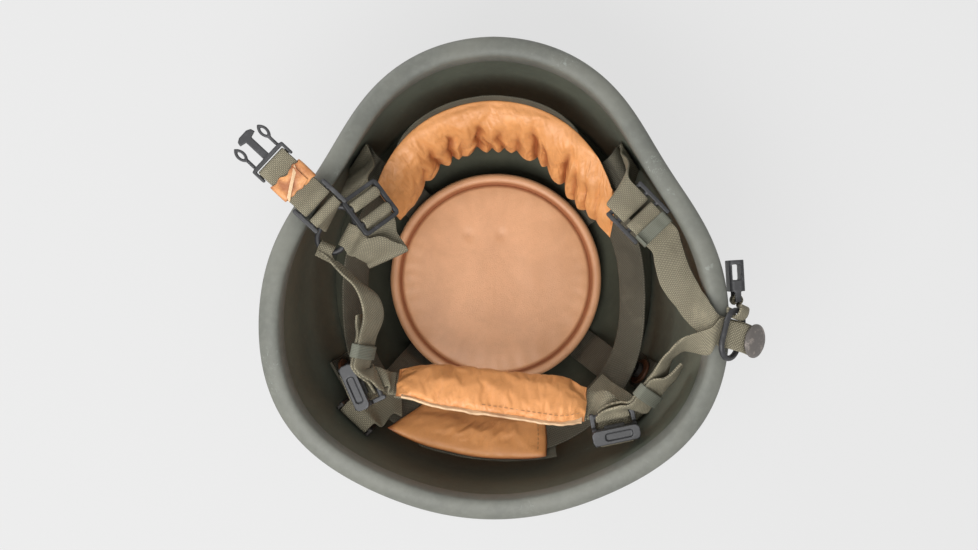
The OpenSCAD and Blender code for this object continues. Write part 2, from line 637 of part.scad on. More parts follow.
// Right rear: chin strap, keeper and cam buckle
cam_bar_y = 7.5;
cam_l = 20;
cam_frame_r = work_frame(fitted([69.7, -87.7, 145]), [0.978, 0.203, 0], [-0.203, 0.978, 0.2]);
keeper_frame_rr = work_frame(fitted([88.5, -69.5, 153.5]), [0.504, -0.33, -0.8], [-0.547, -0.829, -0.2]);
module chin_strap_rear_right() {
    r = ring_frame_right;
    k = keeper_frame_rr;
    c = cam_frame_r;
    there = ring_pass(-2.9, 1.25, stud_high, 0.6);
    bend = set(c, [9, cam_bar_y + 5.6, 2.8], [4, -1.8, -2.2]);
    back_bend = set(c, [7, cam_bar_y + 4.6, 8.8], [4, -1.8, -2.2]);
    color(webbing) difference() {
        web(concat([set(r, [0, ring_w / 2 + 9, stud_high], [half_w - 1.5, 0, 0])],
        [for (i = [4 : -1 : 0]) there[i]],
        [[fitted([122.5, -37, 181.2]), [-0.5, -7.8, -1.5]],
        [fitted([114.5, -38.5, 176.5]), [0.3, -5.8, -4.8]],
        [fitted([108, -39.5, 170]), [1, -3.8, -7.8]],
        [fitted([101, -46, 163]), [1.5, -2.4, -9.2]]],
        through(k, layer),
        [bend],
        turn(c, cam_bar_y, 0, turn_r, -90, -270),
        [back_bend],
        through(k, -layer, 8.5, -8.5),
        [[fitted([100, -61, 154.4]), [2.6, -1.8, -8.4]], [fitted([108, -51.5, 156.5]), [1.2, -1, -8.8]]]));
        stud_bore();
    }
}
module keeper_rear_right() {
    keeper_band(keeper_frame_rr);
}

// Cam buckle: a frame with two bars and side ears, and a lever on a pin between the ears
ear_r = 1.9;
pin_z = 4.2;
pin_d = 2.4;
module cam_frame_solid() {
    for (x = [-1, 1]) translate([x * (buckle_in + rail_w) / 2, 0]) {
        slab(3.2) rounded(rail_w, cam_l, 1.2);
        translate([0, 0, pin_z / 2]) cube([rail_w, 2 * ear_r, pin_z], center = true);
        translate([0, 0, pin_z]) rotate([0, 90, 0]) cylinder(h = rail_w, r = ear_r, center = true);
    }
    for (y = [-cam_bar_y, cam_bar_y]) cross_bar(y, buckle_in + rail_w);
    translate([0, 0, pin_z]) rotate([0, 90, 0])
        cylinder(h = buckle_in + rail_w, d = pin_d, center = true);
}
module cam_lever_solid() {
    knuckle_w = 12;
    difference() {
        union() {
            translate([0, 0, pin_z]) rotate([0, 90, 0])
                cylinder(h = knuckle_w, d = 5.2, center = true);
            translate([0, -1.4, pin_z + 2]) cube([knuckle_w, 2.4, 4], center = true);
            translate([0, -3, pin_z + 3.9]) slab(3.4) rounded(lever_l, 9, 3);
        }
        translate([0, 0, pin_z]) rotate([0, 90, 0])
            cylinder(h = lever_l + 4, d = pin_d + 2 * pin_gap, center = true);
        translate([1.5, -3.2, pin_z + 5.4]) slab(2) rounded(16, 4.4, 1.6);
    }
}
module cam_frame_right() {
    color(black_plastic) place(cam_frame_r) cam_frame_solid();
}
module cam_lever_right() {
    color(black_plastic) place(cam_frame_r) cam_lever_solid();
}

// Nape strap and pad: the strap ends loop round the cam frames' outer bars
nape_left = fitted([-57.4, -64.3, 135.5]);
nape_right = fitted([54.5, -76.5, 136]);
nape_along = unit(nape_right - nape_left);
nape_len = norm(nape_right - nape_left);
nape_cut = 0.25;
nape_up = function (t) let (q = mix(52, 36, t), u = [0, -cos(q), sin(q)])
    unit(u - nape_along * (u * nape_along));
nape_face = function (t) cross(nape_up(t), nape_along);
function nape_point(t, s, n) = nape_left + nape_along * (t * nape_len) + nape_up(t) * s
    + nape_face(t) * n;
// A station beside another one, off the sheet that runs from a to it, on the side of a direction
function beside(a, s, way, d) = let (n = unit(cross(s[0] - a, s[1])))
    [s[0] + n * (n * way > 0 ? d : -d), s[1]];
// Each end of the nape strap passes under the cam frame and turns round its outer bar
function nape_loop(c, t, way, mid) = let (
    side = nape_up(t) * half_w,
    end = t + way * nape_cut / nape_len,
    low = 2.5,
    m = set(c, mid[0], mid[1]))
    concat([[nape_point(end, 0, layer), side], [nape_point(end + way * 0.025, 0, layer), side],
        m, set(c, [0, cam_bar_y - 0.5, -turn_r - low], [-way * 0.75 * half_w, 0, 0]),
        set(c, [0, 0, -1.6], [-way * half_w, 0, 0])],
        turn(c, -cam_bar_y, 0, turn_r, 80, 270, -way * half_w),
        [set(c, [0, 0.5, -turn_r - 1.8], [-way * half_w, 0, 0])]);
module nape_strap_left() {
    color(webbing) web(nape_loop(cam_frame_l, 0, -1, [[2.5, 13.5, -5.4], [4.6, 0.3, 3.2]]));
}
module nape_strap_right() {
    color(webbing) web(nape_loop(cam_frame_r, 1, 1, [[-2.5, 13.5, -5.6], [-4.2, -5.2, 0.7]]));
}
module nape_strap() {
    color(webbing) loft([for (i = [0 : 16]) let (t = mix(nape_cut / nape_len,
        1 - nape_cut / nape_len, i / 16)) [for (p = [[1, -1], [-1, -1], [-1, 1], [1, 1]])
            nape_point(t, p.x * half_w, p.y * (layer + half_t))]]);
}
module nape_pad() {
    steps = 22;
    color(leather) loft([for (i = [steps : -1 : 0]) let (
        j = i / steps,
        t = mix(0.01, 0.99, j),
        draw = sqrt(max(0.06, 1 - pow(abs(2 * j - 1), 5))),
        half = nape_pad_w / 2 * mix(0.72, 1, ease(min(j * 4, (1 - j) * 7))),
        lift = layer + half_t + gap,
        wave = 0.5 * sin(360 * 3 * j))
        concat([for (k = [0 : 8]) let (q = 180 * k / 8)
            nape_point(t, half * cos(q) + 1, lift + 0.8 + (nape_pad_t * draw + wave) * sin(q))],
        [for (k = [1 : 3]) nape_point(t, half * mix(-1, 1, k / 4) + 1, lift)])]);
}

// Left front: hanger, square frame buckle and chin strap with its flat fold
frame_bar_y = 5.6;
frame_l = 25.4;
frame_end = frame_l / 2 - 1.2;
frame_buckle_frame = work_frame(fitted([-71.2, 38.8, 154.5]), [-0.69, -0.526, 0.42], [0.557, -0.83, 0]);
module frame_buckle() {
    color(black_plastic) place(frame_buckle_frame) {
        difference() {
            slab(2.6) rounded(buckle_in + 2 * rail_w, frame_l, 3);
            slab(4) square([buckle_in, frame_l - 4.8], center = true);
        }
        for (y = [-frame_bar_y, frame_bar_y]) cross_bar(y, buckle_in + rail_w);
    }
}
module hanger_left() {
    f = fixings[1];
    b = frame_buckle_frame;
    under = -1.3 - gap - half_t - 0.15;
    color(webbing) bored_web(concat([on_wall(f, -9, tab_depth, 1),
        on_wall(f, 0, tab_depth, 1), on_wall(f, 8, tab_depth, 1),
        on_wall(f, 15, tab_depth + 0.3, 1), free(f[0] + 1, 7, f[1] + 22, [0.1, 0.98, 0.1]),
        free(f[0] + 3, 11, f[1] + 38, [0.35, 0.9, 0.2]),
        hop(b, -frame_end, under)],
        turn(b, -frame_bar_y, 0, turn_r, 222, -90),
        [hop(b, -frame_bar_y - 1.8, -turn_r - 1.3), hop(b, -frame_bar_y - 4.4, -turn_r - 2.6)]), f);
}
fold_mid = fitted([-60.6, 8.7, 150.4]);
fold_half = unit([-0.908, -0.419, 0]) * 12.6;
fold_in = [0.419, -0.908, 0];
module chin_strap_front_left() {
    b = frame_buckle_frame;
    r = ring_frame_left;
    under = -1.3 - gap - half_t - 0.15;
    high = ring_bar / 2 + gap + half_t;
    ring_y = -(ring_w - ring_bar) / 2;
    fold_r = half_t + 0.55;
    color(webbing) web(concat([hop(b, frame_bar_y + 2.2, -turn_r - 1)],
        turn(b, frame_bar_y, 0, turn_r, 270, -42),
        [hop(b, frame_end, under), [fitted([-64.8, 20.5, 147.6]), [-8.6, -4.6, 1.8]]],
        [for (i = [0 : 4]) let (q = mix(-90, 90, i / 4)) [fold_mid + [0, 0, fold_r * sin(q)]
            + fold_in * (fold_r * cos(q) - 2 + (i == 0 || i == 4 ? -0.8 : 0)), fold_half]],
        [[fitted([-65.5, 13, 153.6]), [-8.4, -6, 0]], [fitted([-71, 15.6, 155.6]), [-6, -7, -0.4]],
        [fitted([-76.2, 15.9, 156.6]), [-3.6, -5.4, -1.2]],
        set(r, [-1, ring_y - 4.5, high], [-9, 0, 0])],
        [for (i = [0 : 6]) let (q = mix(95, -80, i / 6))
            set(r, [0, ring_y + high * cos(q), high * sin(q)], [-7.2, 0, 0])],
        [set(r, [-0.5, ring_y - 6, -high - 1], [-8, 0, 0])]));
}

// Left junction: ring, webbing link and ladder slide, then the strap to the release buckle
ring_frame_left = work_frame(fitted([-91.2, 26.2, 149.5]), [0.45, 0.893, 0], [-0.893, 0.45, 0]);
slide_frame_left = work_frame(fitted([-99.2, 39.2, 168.5]), [0.682, 0.731, 0], [-0.731, 0.682, 0.02]);
ladder_l = 19;
ladder_y = 4.4;
module junction_ring_left() {
    color(black_plastic) place(ring_frame_left) oval_ring();
}
module ladder_slide() {
    color(black_plastic) place(slide_frame_left) {
        for (x = [-1, 1]) translate([x * (buckle_in + rail_w) / 2, 0]) slab(3.4)
            rounded(rail_w, ladder_l, 1.2);
        for (y = [-ladder_y, ladder_y]) cross_bar(y, buckle_in + rail_w);
    }
}
module ring_link() {
    r = ring_frame_left;
    s = slide_frame_left;
    ring_y = (ring_w - ring_bar) / 2;
    ring_r = ring_bar / 2 + 2 * gap + half_t;
    stations = concat(
        [for (i = [0 : 6]) let (q = mix(180, 360, i / 6))
            set(r, [2.5, ring_y + ring_r * cos(q), ring_r * sin(q)], [6.5, 0, 0])],
        [for (i = [0 : 6]) let (q = mix(-10, 190, i / 6))
            set(s, [0, turn_r * cos(q) - ladder_y, turn_r * sin(q)], [half_w, 0, 0])]);
    n = len(stations);
    color(webbing) loft([for (i = [0 : n - 1]) let (
        ahead = stations[(i + 1) % n][0] - stations[(i + n - 1) % n][0],
        h = stations[i][1],
        face = unit(cross(ahead, h)) * half_t,
        p = stations[i][0]) [p + h + face, p - h + face, p - h - face, p + h - face]],
        closed = true);
}
lift_frame = shifted(slide_frame_left, [0, 10.2, layer]);
lift_cut = 0.3;
plug_y = 25;
module buckle_strap_inner() {
    l = lift_frame;
    color(webbing) web(concat([hop(l, -lift_cut, 0), hop(l, -1.5, 0.1)],
        turn(slide_frame_left, ladder_y, 0, turn_r, 80, 280),
        [hop(l, -1.5, -2 * layer - 0.1), hop(l, -lift_cut, -2 * layer)]));
}
module buckle_strap_outer() {
    l = lift_frame;
    mid = -layer;
    color(webbing) web(concat([hop(l, lift_cut, 0), hop(l, 6, 0), hop(l, 17, 0.1)],
        turn(shifted(l, [0, 0, mid]), plug_y, 0, turn_r, 90, -90),
        [hop(l, 17, 2 * mid - 0.1), hop(l, 6, 2 * mid), hop(l, lift_cut, 2 * mid)]));
}
sleeve_l = 12;
module leather_sleeve() {
    wall = 1;
    inner_h = 4 * half_t + 0.4 + 2 * gap;
    color(leather) place(shifted(lift_frame, [0, 10.5, -layer])) rotate([90, 0, 0])
        translate([0, 0, -sleeve_l / 2]) linear_extrude(height = sleeve_l) difference() {
            rounded(web_w + 1 + 2 * wall, inner_h + 2 * wall, 1.2);
            square([web_w + 1, inner_h], center = true);
        }
}

// Plug half of the release buckle: bar and centre guide, with two springy prongs
plug_frame = shifted(lift_frame, [0, plug_y, -layer]);
plug_h = 4.2;
root_y = 6.6;
root_x = 9.2;
module release_plug() {
    ear_x = release_w / 2 - 0.9;
    color(black_plastic) place(plug_frame) {
        cross_bar(0, release_w - 1);
        for (x = [-1, 1]) translate([x * ear_x, 1.4, 0]) slab(plug_h) rounded(1.8, 9, 0.8);
        translate([0, 5.2, 0]) slab(plug_h) rounded(release_w - 2.4, 2.4, 1);
        translate([0, 13, 0]) slab(plug_h - 0.6) rounded(4.4, 16, 1);
        translate([0, 22.3, 0]) slab(plug_h - 0.6) polygon([[-6, -1.4], [-2.2, -2.4], [2.2, -2.4],
            [6, -1.4], [5.4, 1], [3, 2.3], [-3, 2.3], [-5.4, 1]]);
    }
}
module prong(side) {
    arm_l = 6;
    leaf_l = 10.5;
    color(black_plastic) place(plug_frame) translate([side * root_x, root_y, 0]) {
        translate([0, arm_l / 2, 0]) cube([1.9, arm_l, plug_h - 1], center = true);
        translate([side * 0.3, arm_l + leaf_l / 2 - 0.8, 0]) slab(plug_h) difference() {
            union() {
                scale_leaf(leaf_l, 5.4);
            }
            scale_leaf(leaf_l - 4.4, 2.2);
        }
    }
}
// A leaf outline: where two circles of one radius overlap
module scale_leaf(l, w) {
    r = (l * l / 4 + w * w / 4) / w;
    intersection() {
        translate([r - w / 2, 0]) circle(r, $fn = 64);
        translate([w / 2 - r, 0]) circle(r, $fn = 64);
    }
}
module prong_front() {
    prong(-1);
}
module prong_back() {
    prong(1);
}

// Left rear: chin strap, keeper and cam buckle
cam_frame_l = work_frame(fitted([-76.3, -63.1, 143.5]), [0.402, -0.914, 0], [0.914, 0.402, 0.2]);
keeper_frame_rl = work_frame(fitted([-75, -44, 159.5]), [0.416, -0.084, -0.9], [-0.1, -0.97, -0.2]);
module chin_strap_rear_left() {
    r = ring_frame_left;
    k = keeper_frame_rl;
    c = cam_frame_l;
    tip = -(ring_l - ring_bar) / 2;
    wrap_r = ring_bar / 2 + 2.7;
    bend = set(c, [-3, cam_bar_y + 2.6, 8], [-4, 1, -4]);
    loop = [for (i = [0 : 6]) let (q = mix(-90, 90, i / 6))
        set(r, [tip + wrap_r * cos(q), 0, wrap_r * sin(q)], [0, -4.6, 0])];
    color(webbing) web(concat([set(r, [tip - 5, -1, -wrap_r - 0.8], [0, -6, 0])], loop,
        [[fitted([-91, 7, 153.4]), [6, -4, -3]],
        [fitted([-82, -2, 154.5]), [6.2, -3.6, -6.5]],
        [fitted([-73, -10, 158]), [6.3, -2.5, -7]],
        [fitted([-69.2, -23, 158.5]), [5.4, -1, -8.2]]],
        through(k, -layer),
        [bend],
        turn(c, cam_bar_y, 0, turn_r, 30, -210, -8.5),
        [beside(at(k, [0, 8.5, 0]), bend, k[3], 3)],
        through(k, layer, 8.5, -8.5),
        [set(k, [0.4, -14, layer + 2.2], [10, 0, 0]), set(k, [0.6, -21, layer + 5.5], [9, -1, 2])]));
}
module keeper_rear_left() {
    keeper_band(keeper_frame_rl);
}
module cam_frame_left() {
    color(black_plastic) place(cam_frame_l) cam_frame_solid();
}
module cam_lever_left() {
    color(black_plastic) place(cam_frame_l) cam_lever_solid();
}

shell();
edge_trim();
impact_liner();
fixing_screws();
fixing_nuts();
leather_washers();
anchor_tabs();
rear_brackets();
rear_hanger_left();
rear_hanger_right();
headband();
hook_strip();
front_pad();
rear_pad();
rear_pad_backing();
crown_strap_a();
crown_strap_b();
crown_pad_base();
crown_pad_cover();
hanger_right();
slide_buckle();
chin_strap_front_right();
keeper_front_right();
junction_ring_right();
stud();
receiver_loop();
release_receiver();
chin_strap_rear_right();
keeper_rear_right();
cam_frame_right();
cam_lever_right();
nape_strap_right();
hanger_left();
frame_buckle();
chin_strap_front_left();
junction_ring_left();
ring_link();
ladder_slide();
buckle_strap_inner();
buckle_strap_outer();
leather_sleeve();
release_plug();
prong_front();
prong_back();
chin_strap_rear_left();
keeper_rear_left();
cam_frame_left();
cam_lever_left();
nape_strap_left();
nape_strap();
nape_pad();
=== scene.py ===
"""Ballistic helmet lying crown down, with its leather padded suspension and webbing chin harness.

Every length in the shape functions is in millimetres, as in the construction drawing, and points
become metres when a mesh is made. Azimuths are in degrees from +X towards the brow (+Y).
"""
import bpy
import math
import random
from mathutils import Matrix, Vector, noise


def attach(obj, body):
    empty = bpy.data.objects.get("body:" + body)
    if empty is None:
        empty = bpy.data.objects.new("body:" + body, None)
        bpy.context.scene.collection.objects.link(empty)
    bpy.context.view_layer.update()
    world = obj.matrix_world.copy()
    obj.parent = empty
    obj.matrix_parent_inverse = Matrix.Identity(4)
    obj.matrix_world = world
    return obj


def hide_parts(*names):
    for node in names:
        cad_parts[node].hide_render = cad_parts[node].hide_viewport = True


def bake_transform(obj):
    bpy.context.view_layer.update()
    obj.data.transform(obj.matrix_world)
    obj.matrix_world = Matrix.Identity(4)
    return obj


bl_info = {
    "name": "Ballistic helmet with leather suspension",
    "version": (1, 0, 0),
    "blender": (4, 5, 0),
    "location": "3D View > Sidebar > Helmet",
    "description": "Dresses the helmet's frame: laminate bowl, leather pads, webbing harness and buckles",
    "category": "Object",
}

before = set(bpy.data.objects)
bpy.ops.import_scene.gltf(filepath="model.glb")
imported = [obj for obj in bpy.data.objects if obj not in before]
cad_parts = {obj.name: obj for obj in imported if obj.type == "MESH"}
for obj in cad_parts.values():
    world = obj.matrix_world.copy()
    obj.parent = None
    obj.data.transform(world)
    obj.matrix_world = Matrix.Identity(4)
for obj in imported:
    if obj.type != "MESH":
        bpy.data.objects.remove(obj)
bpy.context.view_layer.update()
MM = 0.001


def length_setting(name, about, value, low, high):
    return bpy.props.FloatProperty(name=name, description=about, default=value, min=low, max=high,
                                   unit="LENGTH")


def colour_setting(name, about, value):
    return bpy.props.FloatVectorProperty(name=name, description=about, default=value, size=3, min=0, max=1,
                                         subtype="COLOR")


class HelmetSizes(bpy.types.PropertyGroup):
    """Sizes of the weave, the stitches and the gathers"""
    weave_pitch: length_setting("Weave pitch", "Distance between neighbouring yarns of the webbing",
                                0.00145, 0.0006, 0.003)
    stitch_length: length_setting("Stitch length", "Length of one stitch of the leather seams",
                                  0.0026, 0.001, 0.005)
    gather_depth: length_setting("Gather depth", "Depth of the creases along the front pad's lower edge",
                                 0.0064, 0.0, 0.008)


class HelmetColours(bpy.types.PropertyGroup):
    """Colours of the finishes, as linear values"""
    shell: colour_setting("Laminate paint", "Olive paint inside and outside the bowl", (0.088, 0.098, 0.074))
    trim: colour_setting("Edge trim", "Rubbery edge trim round the rim", (0.152, 0.157, 0.137))
    webbing: colour_setting("Harness webbing", "Light yarn of the harness webbing", (0.255, 0.228, 0.158))
    dark_webbing: colour_setting("Suspension webbing", "Yarn of the darker webbing in the bowl",
                                 (0.100, 0.090, 0.063))
    leather: colour_setting("Pad leather", "Tan leather of the front, rear and nape pads",
                            (0.77, 0.340, 0.118))
    crown_leather: colour_setting("Crown leather", "Paler leather of the round crown pad",
                                  (0.78, 0.400, 0.205))
    nylon: colour_setting("Moulded nylon", "Dark moulded buckles and rings", (0.030, 0.030, 0.032))


# Sizes of the bowl, the suspension and the webbing
SHELL_T = 8.5
BROW_Z, EAR_Z, NAPE_Z = 138, 166, 157
HALF_W, HALF_L = 131.5, 138.5
FLAT_R, FULLNESS = 20, 2.3
GAP, SEAT = 0.3, 0.15
BAND_W, BAND_Z = 25, 101.5
CROWN_R, CROWN_Z, CROWN_T = 65.5, 43, 9
WEB_T, HALF_WEB = 1.5, 10
HALF_T = WEB_T / 2
BAR_D = 3
TURN_R = BAR_D / 2 + GAP + HALF_T
LAYER = HALF_T + 0.2


def sine(a):
    return math.sin(math.radians(a))


def cosine(a):
    return math.cos(math.radians(a))


def mix(p, q, t):
    return p * (1 - t) + q * t


def sweep(start, stop, n=6):
    """Values from start to stop in n even steps."""
    return [mix(start, stop, i / n) for i in range(n + 1)]


def uneven(x, y, z):
    """Smooth unevenness, from about -1 to 1, the same at every run."""
    return noise.noise(Vector((x, y, z)))


def ease(t):
    t = min(1, max(0, t))
    return t * t * (3 - 2 * t)


def bell(x, middle, spread):
    return math.exp(-((x - middle) / spread) ** 2 / 2)


DOME_H = EAR_Z + 6
FLAT_DROP = DOME_H * (1 - (1 - (FLAT_R / HALF_W) ** FULLNESS) ** (1 / FULLNESS))


def from_brow(a):
    return abs(((a + 810) % 360) - 180)


def oval(f, w, l):
    return 1 / math.sqrt((sine(f) / w) ** 2 + (cosine(f) / l) ** 2)


def rim_r(a):
    f = from_brow(a)
    return oval(f, HALF_W, HALF_L) - 16.7 * bell(f, 57, 19) + 10.3 * bell(f, 124, 17)


def rim_z(a):
    f = from_brow(a)
    return BROW_Z + (EAR_Z - BROW_Z) * ease((f - 20) / 75) - (EAR_Z - NAPE_Z) * ease((f - 130) / 50)


def dome(z):
    return (1 - (1 - min(z, DOME_H) / DOME_H) ** FULLNESS) ** (1 / FULLNESS)


def flare(a):
    return 2 + 4 * ease((from_brow(a) - 60) / 40)


def skin_r(a, z):
    zz = max(z + FLAT_DROP, 0.01)
    t = zz / (rim_z(a) + FLAT_DROP)
    e = oval(from_brow(a), HALF_W - 3, HALF_L - 2)
    return dome(zz) * (e + (rim_r(a) - e) * t ** 1.6 - flare(a)) + flare(a) * t ** 7


def skin(a, z):
    r = skin_r(a, z)
    return Vector((r * cosine(a), r * sine(a), z))


def skin_normal(a, z):
    n = (skin(a + 1, z) - skin(a - 1, z)).cross(skin(a, z + 0.2) - skin(a, z - 0.2))
    return n.normalized()


def inward(a, z, depth):
    return skin(a, z) - skin_normal(a, z) * depth


def wall_r(a, z):
    p = inward(a, min(z, rim_z(a)), SHELL_T)
    return math.hypot(p.x, p.y)


def spot(a, depth, z):
    r = wall_r(a, z) - depth
    return Vector((r * cosine(a), r * sine(a), z))


def lean(a, v):
    return Vector((v[0] * cosine(a) - v[1] * sine(a), v[0] * sine(a) + v[1] * cosine(a), v[2]))


# Working frames and webbing routes
def work_frame(origin, x, y):
    ux = Vector(x).normalized()
    uz = ux.cross(Vector(y)).normalized()
    return Vector(origin), ux, uz.cross(ux), uz


def at(f, p):
    return f[0] + f[1] * p[0] + f[2] * p[1] + f[3] * p[2]


def shifted(f, p):
    return (at(f, p),) + tuple(f[1:])


def hop(f, y, z, half=HALF_WEB):
    return at(f, (0, y, z)), f[1] * half


def put(f, p, h):
    return at(f, p), f[1] * h[0] + f[2] * h[1] + f[3] * h[2]


def free(a, depth, z, side):
    return spot(a, depth, z), lean(a, side).normalized() * HALF_WEB


def turn(f, y, z, r, start, stop, half=HALF_WEB):
    """Stations round a bar that lies along a frame's first axis."""
    return [hop(f, y + r * cosine(q), z + r * sine(q), half) for q in sweep(start, stop)]


def through(f, z, start=-8.5, stop=8.5):
    return [hop(f, mix(start, stop, i / 4), z) for i in range(5)]


def station(p, h):
    return Vector(p), Vector(h)


def heading(a, b, c):
    p, q = (b - a).length, (c - b).length
    if p < 0.01:
        return (c - b).normalized()
    if q < 0.01:
        return (b - a).normalized()
    return ((b - a) / p * q + (c - b) / q * p).normalized()


def smooth_run(route, step):
    """Finely spaced stations on the smooth curve through a route's stations."""
    out = []
    for i in range(len(route) - 1):
        a, b = route[max(i - 1, 0)][0], route[i][0]
        c, d = route[i + 1][0], route[min(i + 2, len(route) - 1)][0]
        h0, h1 = route[i][1], route[i + 1][1]
        length = (c - b).length
        count = max(1, math.ceil(length / step))
        for k in range(count):
            t = k / count
            s = t * t
            p = (b * (2 * s * t - 3 * s + 1) + heading(a, b, c) * (length * (s * t - 2 * s + t))
                 + c * (3 * s - 2 * s * t) + heading(b, c, d) * (length * (s * t - s)))
            h = mix(h0, h1, t)
            out.append((p, h.normalized() * mix(h0.length, h1.length, t)))
    out.append(route[-1])
    return out


# Fixings, headband and crown straps
FIXINGS = [(40, 98), (140, 98), (213, 86), (327, 86), (226, 106), (314, 106)]
CURVE_GAP = 1.35
TAB_DEPTH = SHELL_T + CURVE_GAP + HALF_T


def fix_frame(fix, depth):
    n = skin_normal(*fix)
    x = n.cross(Vector((0, 0, 1))).normalized()
    return work_frame(inward(fix[0], fix[1], depth), x, -n.cross(x))


def rearness(a):
    return ease((from_brow(a) - 100) / 60)


def band_frame(a):
    q = mix(33.7, 46, rearness(a))
    o = spot(a, mix(26, 17, rearness(a)), BAND_Z)
    return o, lean(a, (sine(q), 0, cosine(q))), lean(a, (-cosine(q), 0, sine(q)))


def band_point(a, s, n):
    f = band_frame(a)
    return f[0] + f[1] * s + f[2] * n


def band_along(a):
    return (band_point(a + 3, 0, 0) - band_point(a - 3, 0, 0)).normalized()


def on_band(a, s, n, way=-1):
    return band_point(a, s, n), band_along(a) * way * HALF_WEB


def wall_along(a, z, way):
    return (skin(a + 1, z) - skin(a - 1, z)).normalized() * way * HALF_WEB


def on_wall(fix, up, depth, way=-1):
    return inward(fix[0], fix[1] + up, depth), wall_along(fix[0], fix[1] + up, way)


def off_wall(a, depth, z):
    return spot(a, depth, z), wall_along(a, z, -1)


BACK = -(WEB_T + GAP + 0.2)


def tab_route(i):
    fix = FIXINGS[i]
    a, z = fix
    if i < 2:
        d = TAB_DEPTH + WEB_T + GAP
        return [on_wall(fix, -9, d), on_wall(fix, 0, d), on_wall(fix, 10, d + 0.7),
                off_wall(a, 12, z + 17), on_band(a, BAND_W / 2, BACK - 4),
                on_band(a, 9, BACK - 1), on_band(a, 6, BACK), on_band(a, 1.5, BACK)]
    n = BACK * (i - 1) - 0.2
    d = TAB_DEPTH
    return [on_wall(fix, 9, d), on_wall(fix, 0, d), on_wall(fix, -9.5, d + 0.3),
            off_wall(a, 9, z - 8), on_band(a, -17, n - 4),
            on_band(a, -11, n - 1), on_band(a, -8, n), on_band(a, -2, n)]


PAD_MID = Vector((1.5, -2.5, 0))
STRAP_LOW = CROWN_Z - GAP - HALF_T


def crown_arm(a, z):
    """One arm of a crown strap, from under the crown pad up to the headband's back."""
    s = lean(a, (0, 1, 0)) * HALF_WEB
    e = CROWN_R + PAD_MID.x * cosine(a) + PAD_MID.y * sine(a)

    def h(x, lift):
        return Vector((x * cosine(a), x * sine(a), lift)), s
    return [h(18, z), h(48, z), h(e + 0.5, z + 0.2), h(e + 3.8, z + 4.5), h(e + 6, z + 14),
            on_band(a, -17, BACK - 4, 1), on_band(a, -13, BACK - 1.2, 1), on_band(a, -10, BACK, 1),
            on_band(a, -2, BACK, 1)]


def crown_route(a, b, z):
    here = [(p, -h) for p, h in crown_arm(b, z)]
    return here[::-1] + crown_arm(a, z)


# Frames of the buckles, rings and keepers, and where their bars lie
SLIDE_R = work_frame((83.3, 35.9, 148), (-0.72, -0.695, 0), (0.695, -0.72, 0.1))
SLIDE_BARS = (-11, -4.7, 3.5)
SLIDE_LENGTH = 25
KEEPER_FR = shifted(SLIDE_R, (0, 13.2, 0))
RING_L, RING_W, RING_BAR = 31, 20, 3.4
RING_R = work_frame(spot(346, -10.8, 174), lean(346, (0, -1, 0.1)),
                    lean(346, (cosine(50), 0, -sine(50))))
STUD_LOW = RING_BAR / 2 + GAP + HALF_T
STUD_HIGH = STUD_LOW + WEB_T + GAP
RECEIVER = work_frame((139.6, -14.4, 153), (0, 0, -1), lean(354, (-0.16, 0.987, 0)))
CAM_R = work_frame((69.7, -87.7, 145), (0.978, 0.203, 0), (-0.203, 0.978, 0.2))
KEEPER_RR = work_frame((88.5, -69.5, 153.5), (0.504, -0.33, -0.8), (-0.547, -0.829, -0.2))
CAM_BAR_Y = 7.5
NAPE_L = Vector((-57.4, -64.3, 135.5))
NAPE_R = Vector((54.5, -76.5, 136))
NAPE_ALONG = (NAPE_R - NAPE_L).normalized()
NAPE_LEN = (NAPE_R - NAPE_L).length
NAPE_CUT = 0.25
FRAME_B = work_frame((-71.2, 38.8, 154.5), (-0.69, -0.526, 0.42), (0.557, -0.83, 0))
FRAME_END = 25.4 / 2 - 1.2
FRAME_BAR_Y = 5.6
FRAME_UNDER = -1.3 - GAP - HALF_T - 0.15
RING_LEFT = work_frame((-91.2, 26.2, 149.5), (0.45, 0.893, 0), (-0.893, 0.45, 0))
SLIDE_LEFT = work_frame((-99.2, 39.2, 168.5), (0.682, 0.731, 0), (-0.731, 0.682, 0.02))
LADDER_Y = 4.4
LIFT = shifted(SLIDE_LEFT, (0, 10.2, LAYER))
PLUG_Y = 25
CAM_L = work_frame((-76.3, -63.1, 143.5), (0.402, -0.914, 0), (0.914, 0.402, 0.2))
KEEPER_RL = work_frame((-75, -44, 159.5), (0.416, -0.084, -0.9), (-0.1, -0.97, -0.2))
BRACKET_Y = 13


def wall_anchor(fix, way=-1):
    """A hanger's first stations, flat against the wall at its fixing."""
    flat = [on_wall(fix, up, TAB_DEPTH, way) for up in (-9, 0, 8)]
    return flat + [on_wall(fix, 15, TAB_DEPTH + 0.3, way)]


def hanger_right_route():
    z = FIXINGS[0][1]
    return (wall_anchor(FIXINGS[0])
            + [free(39, 7, z + 22, (-0.25, -0.95, 0)), free(36, 12, z + 38, (-0.6, -0.75, 0.1)),
               hop(SLIDE_R, -SLIDE_LENGTH / 2 - 3, 2), hop(SLIDE_R, SLIDE_BARS[0], TURN_R + 0.4)]
            + turn(SLIDE_R, SLIDE_BARS[1], 0, TURN_R, 90, -90)
            + [hop(SLIDE_R, SLIDE_BARS[0] + 1, -TURN_R - 1)])


def ring_pass(low, middle, high, x):
    """Webbing through the right ring: how high it lies at one long bar, in the middle and at the other."""
    places = ((-9.5, low), (-5.5, low), (0, middle), (5.5, high), (9.5, high))
    return [put(RING_R, (x, y, z), (8, 0, 0)) for y, z in places]


